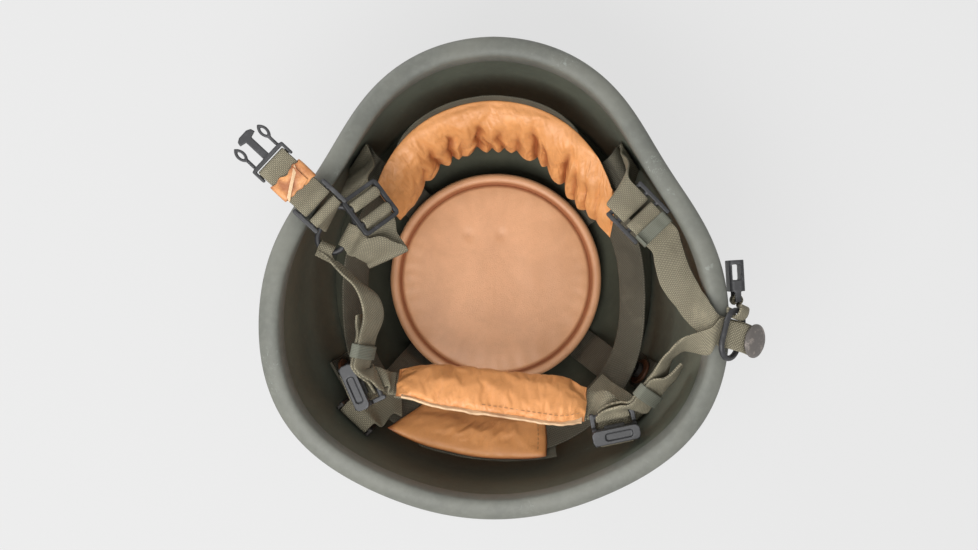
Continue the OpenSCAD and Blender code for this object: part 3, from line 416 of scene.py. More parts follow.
def chin_front_right_route():
    return ([station((101.9, 8, 150.2), (-7.9, -6, 0)), station((100.4, 14.4, 149.4), (-7.5, -6.5, 0))]
            + through(KEEPER_FR, -LAYER, 8.5, -4.2)
            + turn(SLIDE_R, SLIDE_BARS[2], 0, TURN_R, -80, -280)
            + through(KEEPER_FR, LAYER, -4.2, 8.5)
            + [station((100.4, 12.4, 152.4), (-7.9, -6.1, 0)),
               station((103.6, 0.6, 156.5), (-8.4, -5.5, -0.8)),
               station((111.5, -14, 165.5), (-7, -4.5, -5)),
               station((117.5, -22.5, 173.5), (-4, -8.2, -2))]
            + ring_pass(-5.6, -2.2, STUD_LOW, -0.6)
            + [put(RING_R, (0, RING_W / 2 + 9, STUD_LOW), (HALF_WEB - 1.5, 0, 0))])


def receiver_loop_route():
    tip = (RING_L - RING_BAR) / 2
    ring_r = RING_BAR / 2 + 2.7
    arc = [put(RING_R, (ring_r * cosine(q) - tip, 0, ring_r * sine(q)), (0, 4.4, 0))
           for q in sweep(-100, 100)]
    middle = (mix(at(RECEIVER, (-2, -4.5, 1.7)), at(RING_R, (-tip - 3, 1, 1.7)), 0.45),
              (RECEIVER[1] + RING_R[2]).normalized() * 6)
    return arc + [middle] + turn(RECEIVER, 0, 0, TURN_R, 150, -150, 8)


def chin_rear_right_route():
    there = ring_pass(-2.9, 1.25, STUD_HIGH, 0.6)
    return ([put(RING_R, (0, RING_W / 2 + 9, STUD_HIGH), (HALF_WEB - 1.5, 0, 0))]
            + there[::-1]
            + [station((122.5, -37, 181.2), (-0.5, -7.8, -1.5)),
               station((114.5, -38.5, 176.5), (0.3, -5.8, -4.8)),
               station((108, -39.5, 170), (1, -3.8, -7.8)),
               station((101, -46, 163), (1.5, -2.4, -9.2))]
            + through(KEEPER_RR, LAYER)
            + [put(CAM_R, (9, CAM_BAR_Y + 5.6, 2.8), (4, -1.8, -2.2))]
            + turn(CAM_R, CAM_BAR_Y, 0, TURN_R, -90, -270)
            + [put(CAM_R, (7, CAM_BAR_Y + 4.6, 8.8), (4, -1.8, -2.2))]
            + through(KEEPER_RR, -LAYER, 8.5, -8.5)
            + [station((100, -61, 154.4), (2.6, -1.8, -8.4)), station((108, -51.5, 156.5), (1.2, -1, -8.8))])


def beside(a, s, way, d):
    """A station beside another one, off the sheet that runs from a to it, on the side of a direction."""
    n = (s[0] - a).cross(s[1]).normalized()
    return s[0] + n * (d if n.dot(way) > 0 else -d), s[1]


def nape_up(t):
    q = mix(52, 36, t)
    u = Vector((0, -cosine(q), sine(q)))
    return (u - NAPE_ALONG * u.dot(NAPE_ALONG)).normalized()


def nape_point(t, s, n):
    return NAPE_L + NAPE_ALONG * (t * NAPE_LEN) + nape_up(t) * s + nape_up(t).cross(NAPE_ALONG) * n


def nape_loop(c, t, way, middle):
    side = nape_up(t) * HALF_WEB
    end = t + way * NAPE_CUT / NAPE_LEN
    across = (-way * HALF_WEB, 0, 0)
    return ([(nape_point(end, 0, LAYER), side), (nape_point(end + way * 0.025, 0, LAYER), side),
             put(c, middle[0], middle[1]),
             put(c, (0, CAM_BAR_Y - 0.5, -TURN_R - 2.5), (-way * 0.75 * HALF_WEB, 0, 0)),
             put(c, (0, 0, -1.6), across)]
            + turn(c, -CAM_BAR_Y, 0, TURN_R, 80, 270, -way * HALF_WEB)
            + [put(c, (0, 0.5, -TURN_R - 1.8), across)])


def hanger_left_route():
    a, z = FIXINGS[1]
    b = FRAME_B
    return (wall_anchor(FIXINGS[1], 1)
            + [free(a + 1, 7, z + 22, (0.1, 0.98, 0.1)), free(a + 3, 11, z + 38, (0.35, 0.9, 0.2)),
               hop(b, -FRAME_END, FRAME_UNDER)]
            + turn(b, -FRAME_BAR_Y, 0, TURN_R, 222, -90)
            + [hop(b, -FRAME_BAR_Y - 1.8, -TURN_R - 1.3), hop(b, -FRAME_BAR_Y - 4.4, -TURN_R - 2.6)])


FOLD_MID = Vector((-60.6, 8.7, 150.4))
FOLD_HALF = Vector((-0.908, -0.419, 0)).normalized() * 12.6
FOLD_IN = Vector((0.419, -0.908, 0))


def chin_front_left_route():
    b, r = FRAME_B, RING_LEFT
    high = RING_BAR / 2 + GAP + HALF_T
    ring_y = -(RING_W - RING_BAR) / 2
    fold_r = HALF_T + 0.55
    fold = []
    for i, q in enumerate(sweep(-90, 90, 4)):
        back = -2 + (-0.8 if i in (0, 4) else 0)
        fold.append((FOLD_MID + Vector((0, 0, fold_r * sine(q))) + FOLD_IN * (fold_r * cosine(q) + back),
                     FOLD_HALF))
    return ([hop(b, FRAME_BAR_Y + 2.2, -TURN_R - 1)]
            + turn(b, FRAME_BAR_Y, 0, TURN_R, 270, -42)
            + [hop(b, FRAME_END, FRAME_UNDER), station((-64.8, 20.5, 147.6), (-8.6, -4.6, 1.8))]
            + fold
            + [station((-65.5, 13, 153.6), (-8.4, -6, 0)), station((-71, 15.6, 155.6), (-6, -7, -0.4)),
               station((-76.2, 15.9, 156.6), (-3.6, -5.4, -1.2)),
               put(r, (-1, ring_y - 4.5, high), (-9, 0, 0))]
            + turn(r, ring_y, 0, high, 95, -80, -7.2)
            + [put(r, (-0.5, ring_y - 6, -high - 1), (-8, 0, 0))])


def ring_link_route():
    ring_y = (RING_W - RING_BAR) / 2
    ring_r = RING_BAR / 2 + 2 * GAP + HALF_T
    return ([put(RING_LEFT, (2.5, ring_y + ring_r * cosine(q), ring_r * sine(q)), (6.5, 0, 0))
             for q in sweep(180, 360)]
            + turn(SLIDE_LEFT, -LADDER_Y, 0, TURN_R, -10, 190))


def buckle_strap_route():
    """From the ladder slide's bar to the plug's bar and back, in one closed run."""
    f = shifted(LIFT, (0, 0, -LAYER))
    return ([hop(LIFT, -1.5, 0.1), hop(LIFT, 2, 0), hop(LIFT, 6, 0), hop(LIFT, 17, 0.1)]
            + turn(f, PLUG_Y, 0, TURN_R, 90, -90)
            + [hop(LIFT, 17, -2 * LAYER - 0.1), hop(LIFT, 6, -2 * LAYER), hop(LIFT, 2, -2 * LAYER),
               hop(LIFT, -1.5, -2 * LAYER - 0.1)]
            + turn(SLIDE_LEFT, LADDER_Y, 0, TURN_R, 280, 80))


def chin_rear_left_route():
    r, k, c = RING_LEFT, KEEPER_RL, CAM_L
    tip = -(RING_L - RING_BAR) / 2
    wrap_r = RING_BAR / 2 + 2.7
    bend = put(c, (-3, CAM_BAR_Y + 2.6, 8), (-4, 1, -4))
    loop = [put(r, (tip + wrap_r * cosine(q), 0, wrap_r * sine(q)), (0, -4.6, 0))
            for q in sweep(-90, 90)]
    return ([put(r, (tip - 5, -1, -wrap_r - 0.8), (0, -6, 0))] + loop
            + [station((-91, 7, 153.4), (6, -4, -3)), station((-82, -2, 154.5), (6.2, -3.6, -6.5)),
               station((-73, -10, 158), (6.3, -2.5, -7)), station((-69.2, -23, 158.5), (5.4, -1, -8.2))]
            + through(k, -LAYER)
            + [bend]
            + turn(c, CAM_BAR_Y, 0, TURN_R, 30, -210, -8.5)
            + [beside(at(k, (0, 8.5, 0)), bend, k[3], 3)]
            + through(k, LAYER, 8.5, -8.5)
            + [put(k, (0.4, -14, LAYER + 2.2), (10, 0, 0)), put(k, (0.6, -21, LAYER + 5.5), (9, -1, 2))])


def bracket_turn(i):
    """Webbing up to a rear bracket's bar, round it and down again."""
    b = fix_frame(FIXINGS[i], SHELL_T + CURVE_GAP + TURN_R + HALF_T + 0.3)
    across = (HALF_WEB, 0, 0)
    return ([put(b, (0, BRACKET_Y - TURN_R - 0.3, 4), across)]
            + turn(b, BRACKET_Y, 0, TURN_R, 190, 350)
            + [put(b, (0, BRACKET_Y + TURN_R - 0.3, 5), across)])


def rear_hanger_left_route():
    side = (lean(234, (0, 0.5, 0)) + band_frame(234)[1] * 0.86).normalized() * -HALF_WEB
    return bracket_turn(4) + [station((-68.5, -80.5, 114.2), (-2.5, 9.4, -2.5)),
                              (band_point(231.5, 1.5, 3.6), side), (band_point(234, -1, 3), side)]


def rear_hanger_right_route():
    places = ((313, 15, 6), (312.5, 8, 3.2), (312, 2, 2.4), (311.5, -8, 2.4))
    return bracket_turn(5) + [on_band(a, s, n) for a, s, n in places]


# Modelling helpers
def deselect():
    if bpy.context.object and bpy.context.object.mode != "OBJECT":
        bpy.ops.object.mode_set(mode="OBJECT")
    bpy.ops.object.select_all(action="DESELECT")


def take(obj):
    deselect()
    obj.select_set(True)
    bpy.context.view_layer.objects.active = obj
    return obj


def edit_all(obj):
    take(obj)
    bpy.ops.object.mode_set(mode="EDIT")
    bpy.ops.mesh.select_all(action="SELECT")


def leave_edit():
    bpy.ops.object.mode_set(mode="OBJECT")


def modify(obj, kind, **settings):
    """Adds a modifier, sets it and applies it."""
    take(obj)
    bpy.ops.object.modifier_add(type=kind)
    m = obj.modifiers[-1]
    for key, value in settings.items():
        setattr(m, key, value)
    bpy.ops.object.modifier_apply(modifier=m.name)
    return obj


def smooth(obj, angle):
    take(obj)
    bpy.ops.object.shade_smooth_by_angle(angle=math.radians(angle))
    return obj


def closed_sheet(name, across, along, place, uv=None, weld=0.02):
    """A grid primitive whose vertices are laid on place(i, j) in millimetres, and then welded shut."""
    deselect()
    bpy.ops.mesh.primitive_grid_add(x_subdivisions=across, y_subdivisions=along, size=1)
    obj = bpy.context.object
    obj.name = obj.data.name = name
    index = [(round((v.co.x + 0.5) * across), round((v.co.y + 0.5) * along)) for v in obj.data.vertices]
    for v, (i, j) in zip(obj.data.vertices, index):
        v.co = place(i, j) * MM
    if uv:
        layer = obj.data.uv_layers.active
        layer.name = "weave"
        for loop in obj.data.loops:
            layer.data[loop.index].uv = uv(*index[loop.vertex_index])
    edit_all(obj)
    bpy.ops.mesh.remove_doubles(threshold=weld * MM)
    bpy.ops.mesh.select_all(action="SELECT")
    bpy.ops.mesh.normals_make_consistent(inside=False)
    leave_edit()
    return smooth(obj, 50)


def join(name, parts):
    deselect()
    for p in parts:
        p.select_set(True)
    bpy.context.view_layer.objects.active = parts[0]
    if len(parts) > 1:
        bpy.ops.object.join()
    obj = bpy.context.object
    obj.name = obj.data.name = name
    return obj


def paint(obj, finish):
    """Gives a piece its finish."""
    obj.data.materials.clear()
    obj.data.materials.append(look(finish))
    return obj


# Section of a strap: across it, from edge to edge, and off its middle layer
SECTION = [(-1, 0), (-0.985, 0.55), (-0.93, 0.95), (-0.62, 1), (-0.2, 1), (0.2, 1), (0.62, 1),
           (0.93, 0.95), (0.985, 0.55), (1, 0)]


def strap(name, route, thickness=WEB_T, step=1.7, wave=0.22, seed=0, closed=False, ragged=0.012):
    """A flat woven strap along a route: rounded selvedges, closed ends and a little slack."""
    if closed:
        route = list(route) + [route[0]]
    run = smooth_run(route, step)
    n = len(run)
    lengths = [0.0]
    for i in range(1, n):
        lengths.append(lengths[-1] + (run[i][0] - run[i - 1][0]).length)
    faces = []
    for i in range(n):
        if closed:
            ahead = run[(i + 1) % (n - 1)][0] - run[(i - 1) % (n - 1)][0]
        else:
            ahead = run[min(i + 1, n - 1)][0] - run[max(i - 1, 0)][0]
        faces.append(ahead.cross(run[i][1]).normalized())
    ring = SECTION + [(v, -t) for v, t in reversed(SECTION[1:-1])]
    count = len(ring)
    pad = 0 if closed else 1

    def place(i, j):
        k = j % (n - 1) if closed else min(max(j - pad, 0), n - 1)
        v, t = ring[i % count]
        p, h = run[k]
        if not closed and j in (0, n + 1):
            t = 0
        fade = 1 if closed else min(1, lengths[k] / 6, (lengths[-1] - lengths[k]) / 6)
        shift = uneven(lengths[k] / 13, v * 0.9, seed * 7.1) * wave * fade
        edge = 1 + ragged * uneven(lengths[k] / 4, seed * 3.3, v)
        return p + h * (v * edge) + faces[k] * (t * thickness / 2 + shift)

    def uv(i, j):
        k = min(max(j - pad, 0), n - 1)
        v = ring[i % count][0]
        return lengths[k] * MM, v * run[k][1].length * MM
    rows = n - 1 if closed else n + 1
    return closed_sheet(name, count, rows, place, uv, 0.004)


def moulded(node, voxel=0.3, rounds=5):
    """A copy of a drawn solid with its edges and inner corners rounded, as moulded and cast pieces have."""
    obj = bpy.data.objects.new(node + "_piece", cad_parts[node].data.copy())
    obj.data.name = obj.name
    bpy.context.scene.collection.objects.link(obj)
    edit_all(obj)
    bpy.ops.mesh.remove_doubles(threshold=0.005 * MM)
    leave_edit()
    modify(obj, "REMESH", mode="VOXEL", voxel_size=voxel * MM, use_smooth_shade=True)
    modify(obj, "SMOOTH", factor=0.5, iterations=rounds)
    return smooth(obj, 60)


def finish_piece(obj, finish, body, *nodes):
    """Paints a piece, makes it ride a body and puts it in the place of drawn nodes."""
    paint(obj, finish)
    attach(obj, body)
    if nodes:
        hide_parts(*nodes)
    return obj


def harness(name, route, node, finish="webbing", **extra):
    """A strap of the helmet's own body, in the place of one drawn node."""
    return finish_piece(strap(name, route, **extra), finish, "helmet", node)


def stitch_row(name, points, normals, length=None, width=0.55, lift=0.1):
    """Short thread stitches laid end to end along a line of points in millimetres."""
    length = length or bpy.context.scene.helmet_sizes.stitch_length / MM
    every = length * 1.25
    total = 0
    marks = []
    need = every / 2
    for i in range(1, len(points)):
        a, b = points[i - 1], points[i]
        d = (b - a).length
        while need <= total + d and d > 1e-9:
            t = (need - total) / d
            up = mix(normals[i - 1], normals[i], t).normalized()
            marks.append((mix(a, b, t), (b - a).normalized(), up))
            need += every
        total += d
    deselect()
    bpy.ops.mesh.primitive_uv_sphere_add(segments=8, ring_count=4, radius=0.5)
    seed = bpy.context.object
    shape = [v.co.copy() for v in seed.data.vertices]
    parts = []
    for k, (p, along, up) in enumerate(marks):
        obj = seed if k == 0 else seed.copy()
        if k:
            obj.data = seed.data.copy()
            bpy.context.scene.collection.objects.link(obj)
        side = along.cross(up).normalized()
        for v, c in zip(obj.data.vertices, shape):
            v.co = (p + along * (c.x * length) + side * (c.y * width) + up * (c.z * width * 0.8 + lift)) * MM
        parts.append(obj)
    return smooth(join(name, parts), 80)


def relax_as_cloth(obj, sewn, pressure, cap, spare, frames=20):
    """Lets a pad's leather swell and settle from its sewn points, at most cap millimetres."""
    take(obj)
    before = [v.co.copy() for v in obj.data.vertices]
    group = obj.vertex_groups.new(name="sewn")
    group.add([i for i, p in enumerate(before) if sewn(i, p / MM)], 1, "REPLACE")
    bpy.ops.object.modifier_add(type="CLOTH")
    m = obj.modifiers[-1]
    m.settings.vertex_group_mass = "sewn"
    m.settings.use_pressure = True
    m.settings.uniform_pressure_force = pressure
    m.settings.shrink_min = -spare
    m.settings.tension_stiffness = m.settings.compression_stiffness = 25
    m.settings.bending_stiffness = 2
    m.settings.effector_weights.gravity = 0
    m.point_cache.frame_end = frames
    for f in range(1, frames + 1):
        bpy.context.scene.frame_set(f)
    bpy.ops.object.modifier_apply(modifier=m.name)
    for v, p in zip(obj.data.vertices, before):
        step = v.co - p
        if step.length > cap * MM:
            v.co = p + step.normalized() * cap * MM
    obj.vertex_groups.clear()
    bpy.context.scene.frame_set(1)
    return obj


def note_fold_shade_and_tone(obj, depth):
    """Keeps, from 0 to 1, how strongly each point's leather is darkened: painted shade in creases and
    hollows, and random darker tone where a caller gives noise.
    """
    layer = obj.data.attributes.new(name="fold", type="FLOAT", domain="POINT")
    for v in obj.data.vertices:
        layer.data[v.index].value = min(1, max(0, depth(v.index, v.co / MM)))
    return obj


# Finishes
class Reading:
    """One number that varies over a surface; sums of readings add the Math nodes that work them out."""

    def __init__(self, finish, socket):
        self.finish = finish
        self.socket = socket

    def __add__(self, other):
        return self.finish.math("ADD", self, other)

    def __radd__(self, other):
        return self.finish.math("ADD", other, self)

    def __sub__(self, other):
        return self.finish.math("SUBTRACT", self, other)

    def __rsub__(self, other):
        return self.finish.math("SUBTRACT", other, self)

    def __mul__(self, other):
        return self.finish.math("MULTIPLY", self, other)

    def __rmul__(self, other):
        return self.finish.math("MULTIPLY", other, self)

    def __truediv__(self, other):
        return self.finish.math("DIVIDE", self, other)

    def __pow__(self, other):
        return self.finish.math("POWER", self, other)

    def sine(self):
        return self.finish.math("SINE", self)

    def size(self):
        return self.finish.math("ABSOLUTE", self)

    def floor(self):
        return self.finish.math("FLOOR", self)

    def at_least(self, other):
        return self.finish.math("MAXIMUM", self, other)

    def between(self, low, high):
        """0 below low, 1 above high and a soft rise between them."""
        n = self.finish.node("MapRange", {"interpolation_type": "SMOOTHSTEP"},
                             {"Value": self, "From Min": low, "From Max": high})
        return Reading(self.finish, n.outputs["Result"])


class Finish:
    """One material, built from nodes."""

    def __init__(self, name):
        self.material = bpy.data.materials.new(name)
        self.material.use_nodes = True
        self.tree = self.material.node_tree
        self.tree.nodes.clear()
        self.column = 0

    def node(self, kind, settings=None, inputs=None):
        n = self.tree.nodes.new("ShaderNode" + kind)
        self.column += 1
        n.location = (self.column // 6 * 190, -self.column % 6 * 210)
        for key, value in (settings or {}).items():
            setattr(n, key, value)
        for key, value in (inputs or {}).items():
            self.feed(n.inputs[key], value)
        return n

    def feed(self, socket, value):
        if isinstance(value, Reading):
            value = value.socket
        if isinstance(value, bpy.types.NodeSocket):
            self.tree.links.new(value, socket)
        elif socket.type == "RGBA":
            socket.default_value = tuple(value)[:3] + (1,)
        else:
            socket.default_value = value

    def math(self, operation, *values):
        n = self.node("Math", {"operation": operation}, dict(enumerate(values)))
        return Reading(self, n.outputs[0])

    def place(self, scale=None):
        """The point on the object, in metres, stretched by scale if there is one."""
        point = self.node("TexCoord").outputs["Object"]
        if scale is None:
            return point
        return self.node("Mapping", {}, {"Vector": point, "Scale": scale}).outputs["Vector"]

    def parts(self, vector):
        n = self.node("SeparateXYZ", {}, {"Vector": vector})
        return [Reading(self, n.outputs[i]) for i in range(3)]

    def weave(self):
        """Metres along and across a strap."""
        return self.parts(self.node("UVMap", {"uv_map": "weave"}).outputs["UV"])[:2]

    def cloud(self, vector, scale, detail=3.0, roughness=0.55, distortion=0.0):
        n = self.node("TexNoise", {}, {"Vector": vector, "Scale": scale, "Detail": detail,
                                       "Roughness": roughness, "Distortion": distortion})
        return Reading(self, n.outputs["Fac"])

    def cells(self, vector, scale):
        n = self.node("TexVoronoi", {"feature": "DISTANCE_TO_EDGE"}, {"Vector": vector, "Scale": scale})
        return Reading(self, n.outputs["Distance"])

    def kept(self, name):
        return Reading(self, self.node("Attribute", {"attribute_name": name}).outputs["Fac"])

    def blend(self, amount, a, b):
        n = self.node("Mix", {"data_type": "RGBA", "clamp_factor": True}, {0: amount, 6: a, 7: b})
        return n.outputs[2]

    def relief(self, height, depth, strength):
        n = self.node("Bump", {}, {"Height": height, "Distance": depth, "Strength": strength})
        return n.outputs["Normal"]

    def surface(self, **sockets):
        shader = self.node("BsdfPrincipled", {}, {k.replace("_", " "): v for k, v in sockets.items()})
        out = self.node("OutputMaterial", {}, {"Surface": shader.outputs[0]})
        out.target = "ALL"
        return self.material


def tint(colour, factor, warm=0.0):
    return tuple(min(1, c * factor * w) for c, w in zip(colour, (1 + warm, 1, 1 - warm)))


def laminate_paint(name, colour, scuffs=()):
    """Matt olive paint over pressed laminate, with grit, stains and chalky rubbed places."""
    f = Finish(name)
    p = f.place()
    broad, fine = f.cloud(p, 22, 5, 0.6), f.cloud(p, 240, 4, 0.6)
    grit = f.cloud(p, 1500, 2, 0.6)
    base = f.blend(broad.between(0.3, 0.72), tint(colour, 0.84), tint(colour, 1.12, 0.02))
    base = f.blend(fine.between(0.35, 0.75) * 0.35, base, tint(colour, 1.35))
    x, y, z = f.parts(p)
    rub = f.cloud(f.place((1, 1, 4)), 420, 5, 0.75, 0.6).between(0.56, 0.66)
    worn = f.cloud(p, 95, 4, 0.7).between(0.66, 0.74) * 0.5
    for sx, sy, sz, reach in scuffs:
        away = ((x - sx * MM) ** 2 + (y - sy * MM) ** 2 + (z - sz * MM) ** 2) ** 0.5
        worn = worn.at_least((1 - away.between(reach * 0.35 * MM, reach * MM)) * rub)
    base = f.blend(worn * 0.75, base, tint(colour, 2.1, -0.04))
    height = grit * 0.5 + fine * 0.5 - worn * 0.6
    return f.surface(Base_Color=base, Roughness=0.5 + broad * 0.22 + worn * 0.1,
                     Normal=f.relief(height, 0.00022, 0.55))


def woven(name, colour, soil=0.5):
    """Webbing in a plain weave, laid out along and across each strap."""
    f = Finish(name)
    u, v = f.weave()
    pitch = bpy.context.scene.helmet_sizes.weave_pitch
    column = v / (pitch * 0.62)
    yarn = (column * math.pi).sine().size() ** 0.6
    odd = column.floor() * math.pi
    over = (u * (2 * math.pi / pitch) + odd).sine() * 0.5 + 0.5
    height = yarn * (0.35 + over * 0.65)
    p = f.place()
    fibres = f.cloud(p, 2600, 2, 0.7)
    wear = f.cloud(p, 60, 4, 0.65)
    dirt = f.cloud(p, 24, 3, 0.6, 0.4)
    # Painted shade and highlight: where the yarns dip under their neighbours the colour is darkened to about
    # a quarter, and the raised crossings are lightened a little.
    base = f.blend(height.between(0.1, 0.75), tint(colour, 0.24), tint(colour, 1.2))
    base = f.blend(fibres * 0.25, base, tint(colour, 1.5, 0.02))
    base = f.blend(wear.between(0.5, 0.75) * 0.35, base, tint(colour, 1.75, 0.01))
    base = f.blend(dirt.between(0.48, 0.72) * soil, base, tint(colour, 0.45, 0.05))
    return f.surface(Base_Color=base, Roughness=0.78 + fibres * 0.15,
                     Normal=f.relief(height + fibres * 0.25, 0.00045, 0.95))


def ribbed_elastic(name, colour):
    """Elastic tape of the keepers, with fine ribs along the loop."""
    f = Finish(name)
    u, v = f.weave()
    ribs = (v * (math.pi / 0.0009)).sine().size() ** 0.5
    cords = (u * (math.pi / 0.0006)).sine().size()
    p = f.place()
    # Painted shade and highlight: the grooves between the ribs are darkened to half the colour and the rib
    # crowns lightened a little.
    base = f.blend(ribs, tint(colour, 0.5), tint(colour, 1.15))
    base = f.blend(f.cloud(p, 160, 3) * 0.5, base, tint(colour, 0.8, 0.03))
    return f.surface(Base_Color=base, Roughness=0.7 + cords * 0.1,
                     Normal=f.relief(ribs + cords * 0.3, 0.0003, 0.8))


def tanned(name, colour, depth=0.6, smoothness=0.0, fold_shade=True):
    """Thin tanned leather: pebbled grain, mottled dye, and painted shade in creases and hollows from the fold
    attribute, which on raw edges and the sleeve carries random darker tone instead.
    """
    f = Finish(name)
    p = f.place()
    mottle = f.cloud(p, 34, 4, 0.6, 0.3)
    broad = f.cloud(p, 11, 2, 0.5)
    grain = f.cells(p, 1250).between(0.0, 0.28)
    pores = f.cloud(p, 900, 3, 0.6)
    lines = f.cloud(p, 130, 6, 0.75, 1.2)
    fine = 1 - (lines - 0.5).size().between(0.0, 0.03)
    base = f.blend(mottle.between(0.32, 0.7), tint(colour, 0.88, 0.03), tint(colour, 1.08))
    base = f.blend(broad.between(0.4, 0.7) * 0.4, base, tint(colour, 1.16, -0.02))
    base = f.blend(fine * 0.16 * (1 - smoothness), base, tint(colour, 0.62, 0.1))
    base = f.blend((1 - grain) * 0.16, base, tint(colour, 0.66, 0.06))
    if fold_shade:
        # Painted shade: the fold attribute darkens the pads' creases, dimples and the leather beside band and
        # strap towards deep orange-brown, as strongly as depth says; on the raw edges and sleeve it gives
        # random darker tone.
        base = f.blend(f.kept("fold").between(0.15, 0.95) * depth, base,
                       (colour[0] * 0.42, colour[1] * 0.26, colour[2] * 0.20))
    height = grain * 0.4 + pores * 0.3 - fine * 0.55 * (1 - smoothness)
    return f.surface(Base_Color=base, Roughness=0.37 + mottle * 0.16, Coat_Weight=0.12,
                     Coat_Roughness=0.35, Normal=f.relief(height, 0.00016, 0.6))


def moulding(name, colour):
    """Moulded nylon with a fine spark texture and slightly greyed rubbed patches."""
    f = Finish(name)
    p = f.place()
    rub = f.cloud(p, 130, 5, 0.7)
    spark = f.cloud(p, 3200, 2, 0.6)
    lines = f.cloud(f.place((0.3, 2.4, 1)), 700, 3, 0.8)
    base = f.blend(rub.between(0.5, 0.78), colour, tint(colour, 2.3))
    base = f.blend(lines.between(0.62, 0.72) * 0.35, base, tint(colour, 3.4))
    return f.surface(Base_Color=base, Roughness=0.33 + rub * 0.25,
                     Normal=f.relief(spark + lines * 0.3, 0.00005, 0.5))


def blackened(name, colour, metal=0.75):
    """Blackened steel with its finish thinned in places."""
    f = Finish(name)
    p = f.place()
    patina = f.cloud(p, 210, 5, 0.7)
    pits = f.cloud(p, 1500, 3, 0.7)
    thin = patina.between(0.5, 0.72)
    base = f.blend(thin, colour, tint(colour, 2.6, 0.03))
    return f.surface(Base_Color=base, Metallic=metal * (0.6 + thin * 0.4), Roughness=0.38 + patina * 0.3,
                     Normal=f.relief(pits, 0.00006, 0.6))


def felted(name, colour):
    """Dark coated foam and fibre board, with a napped surface."""
    f = Finish(name)
    p = f.place()
    nap = f.cloud(p, 1100, 4, 0.75)
    patches = f.cloud(p, 45, 4, 0.6)
    base = f.blend(patches.between(0.3, 0.7), tint(colour, 0.75), tint(colour, 1.25))
    base = f.blend(nap * 0.5, base, tint(colour, 1.5))
    return f.surface(Base_Color=base, Roughness=0.82 + nap * 0.1, Normal=f.relief(nap, 0.0002, 0.7))


def thread(name, colour):
    """Waxed sewing thread with a twist."""
    f = Finish(name)
    p = f.place()
    twist = f.cloud(p, 1900, 2, 0.6)
    base = f.blend(twist, tint(colour, 0.7), tint(colour, 1.2))
    return f.surface(Base_Color=base, Roughness=0.6 + twist * 0.2, Normal=f.relief(twist, 0.0001, 0.6))


# Finishes made so far
LOOKS = {}

# Rubbed places of the edge trim: their middle and reach in millimetres
SCUFFS = ((-129, -50, 166, 15), (-126, -62, 166, 10), (120, -64, 162, 12), (21, -133, 157, 14),
          (42, 126, 140, 13), (93, 63, 156, 11))


def look(name):
    """The finish of that name, made at its first use."""
    if name not in LOOKS:
        c = bpy.context.scene.helmet_colours
        makers = {
            "paint": lambda: laminate_paint("olive laminate paint", c.shell),
            "trim": lambda: laminate_paint("rubbed edge trim", c.trim, SCUFFS),
            "liner": lambda: felted("dark impact liner", (0.046, 0.047, 0.030)),
            "board": lambda: felted("fibre board", (0.16, 0.11, 0.07)),
            "webbing": lambda: woven("harness webbing", c.webbing),
            "dark webbing": lambda: woven("suspension webbing", c.dark_webbing, 0.6),
            "elastic": lambda: ribbed_elastic("ribbed keeper elastic", (0.15, 0.155, 0.12)),
            "leather": lambda: tanned("tan pad leather", c.leather, 1.0),
            "crown leather": lambda: tanned("pale crown leather", c.crown_leather, 0.85, 0.6),
            "washer leather": lambda: tanned("brown washer leather", (0.12, 0.045, 0.02), 0, 0.3, False),
            "torn leather": lambda: tanned("torn sleeve leather", (0.72, 0.33, 0.12), 0.85),
            "raw leather": lambda: tanned("raw leather edge", (0.76, 0.52, 0.31), 0.6),
            "nylon": lambda: moulding("dark moulded nylon", c.nylon),
            "metal": lambda: blackened("blackened metal", (0.05, 0.045, 0.042)),
            "stud metal": lambda: blackened("enamelled stud", (0.14, 0.125, 0.115), 0.35),
            "thread": lambda: thread("tan thread", (0.42, 0.20, 0.08)),
            "olive thread": lambda: thread("olive thread", (0.12, 0.115, 0.08)),
        }
        LOOKS[name] = makers[name]()
    return LOOKS[name]


# Bowl, trim and liner
def level(top, t):
    return (top + FLAT_DROP) * (1 - math.cos(math.pi / 2 * t)) - FLAT_DROP


def bowl(name, top, sides, rows, outer, inner):
    """A bowl-shaped wall: down the outside to the crown's pole, up the inside, closed along its edge."""
    def place(i, j):
        a = 360 * (i % sides) / sides
        if j in (0, 2 * rows + 2):
            return inward(a, top(a), (outer + inner) / 2)
        out = j <= rows + 1
        t = 1 - (j - 1) / rows if out else (j - rows - 2) / rows
        depth = outer if out else inner
        if t <= 0:
            z = -FLAT_DROP + depth
            return Vector((0, 0, max(z, 0) if out else z))
        p = inward(a, level(top(a), t), depth)
        if depth == 0:
            p.z = max(p.z, 0)
        return p
    return closed_sheet(name, sides, 2 * rows + 2, place, weld=0.01)


class HELMET_OT_bowl(bpy.types.Operator):
    """Adds the laminate bowl, smooth from the crown to the rim"""
    bl_idname = "helmet.bowl"
    bl_label = "Laminate bowl"

    def execute(self, context):
        finish_piece(bowl("laminate_bowl", rim_z, 192, 64, 0, SHELL_T), "paint", "helmet", "shell")
        return {"FINISHED"}


# Section of the edge trim's lips: how far out from the wall and how far up
LIP_OUT = 1.6
LIP = ((0, 0), (0.4, -0.25), (1.2, 0), (LIP_OUT, 0.6))
LIP_DEEP = 9
LINER_T, LINER_TOP = 6, 67


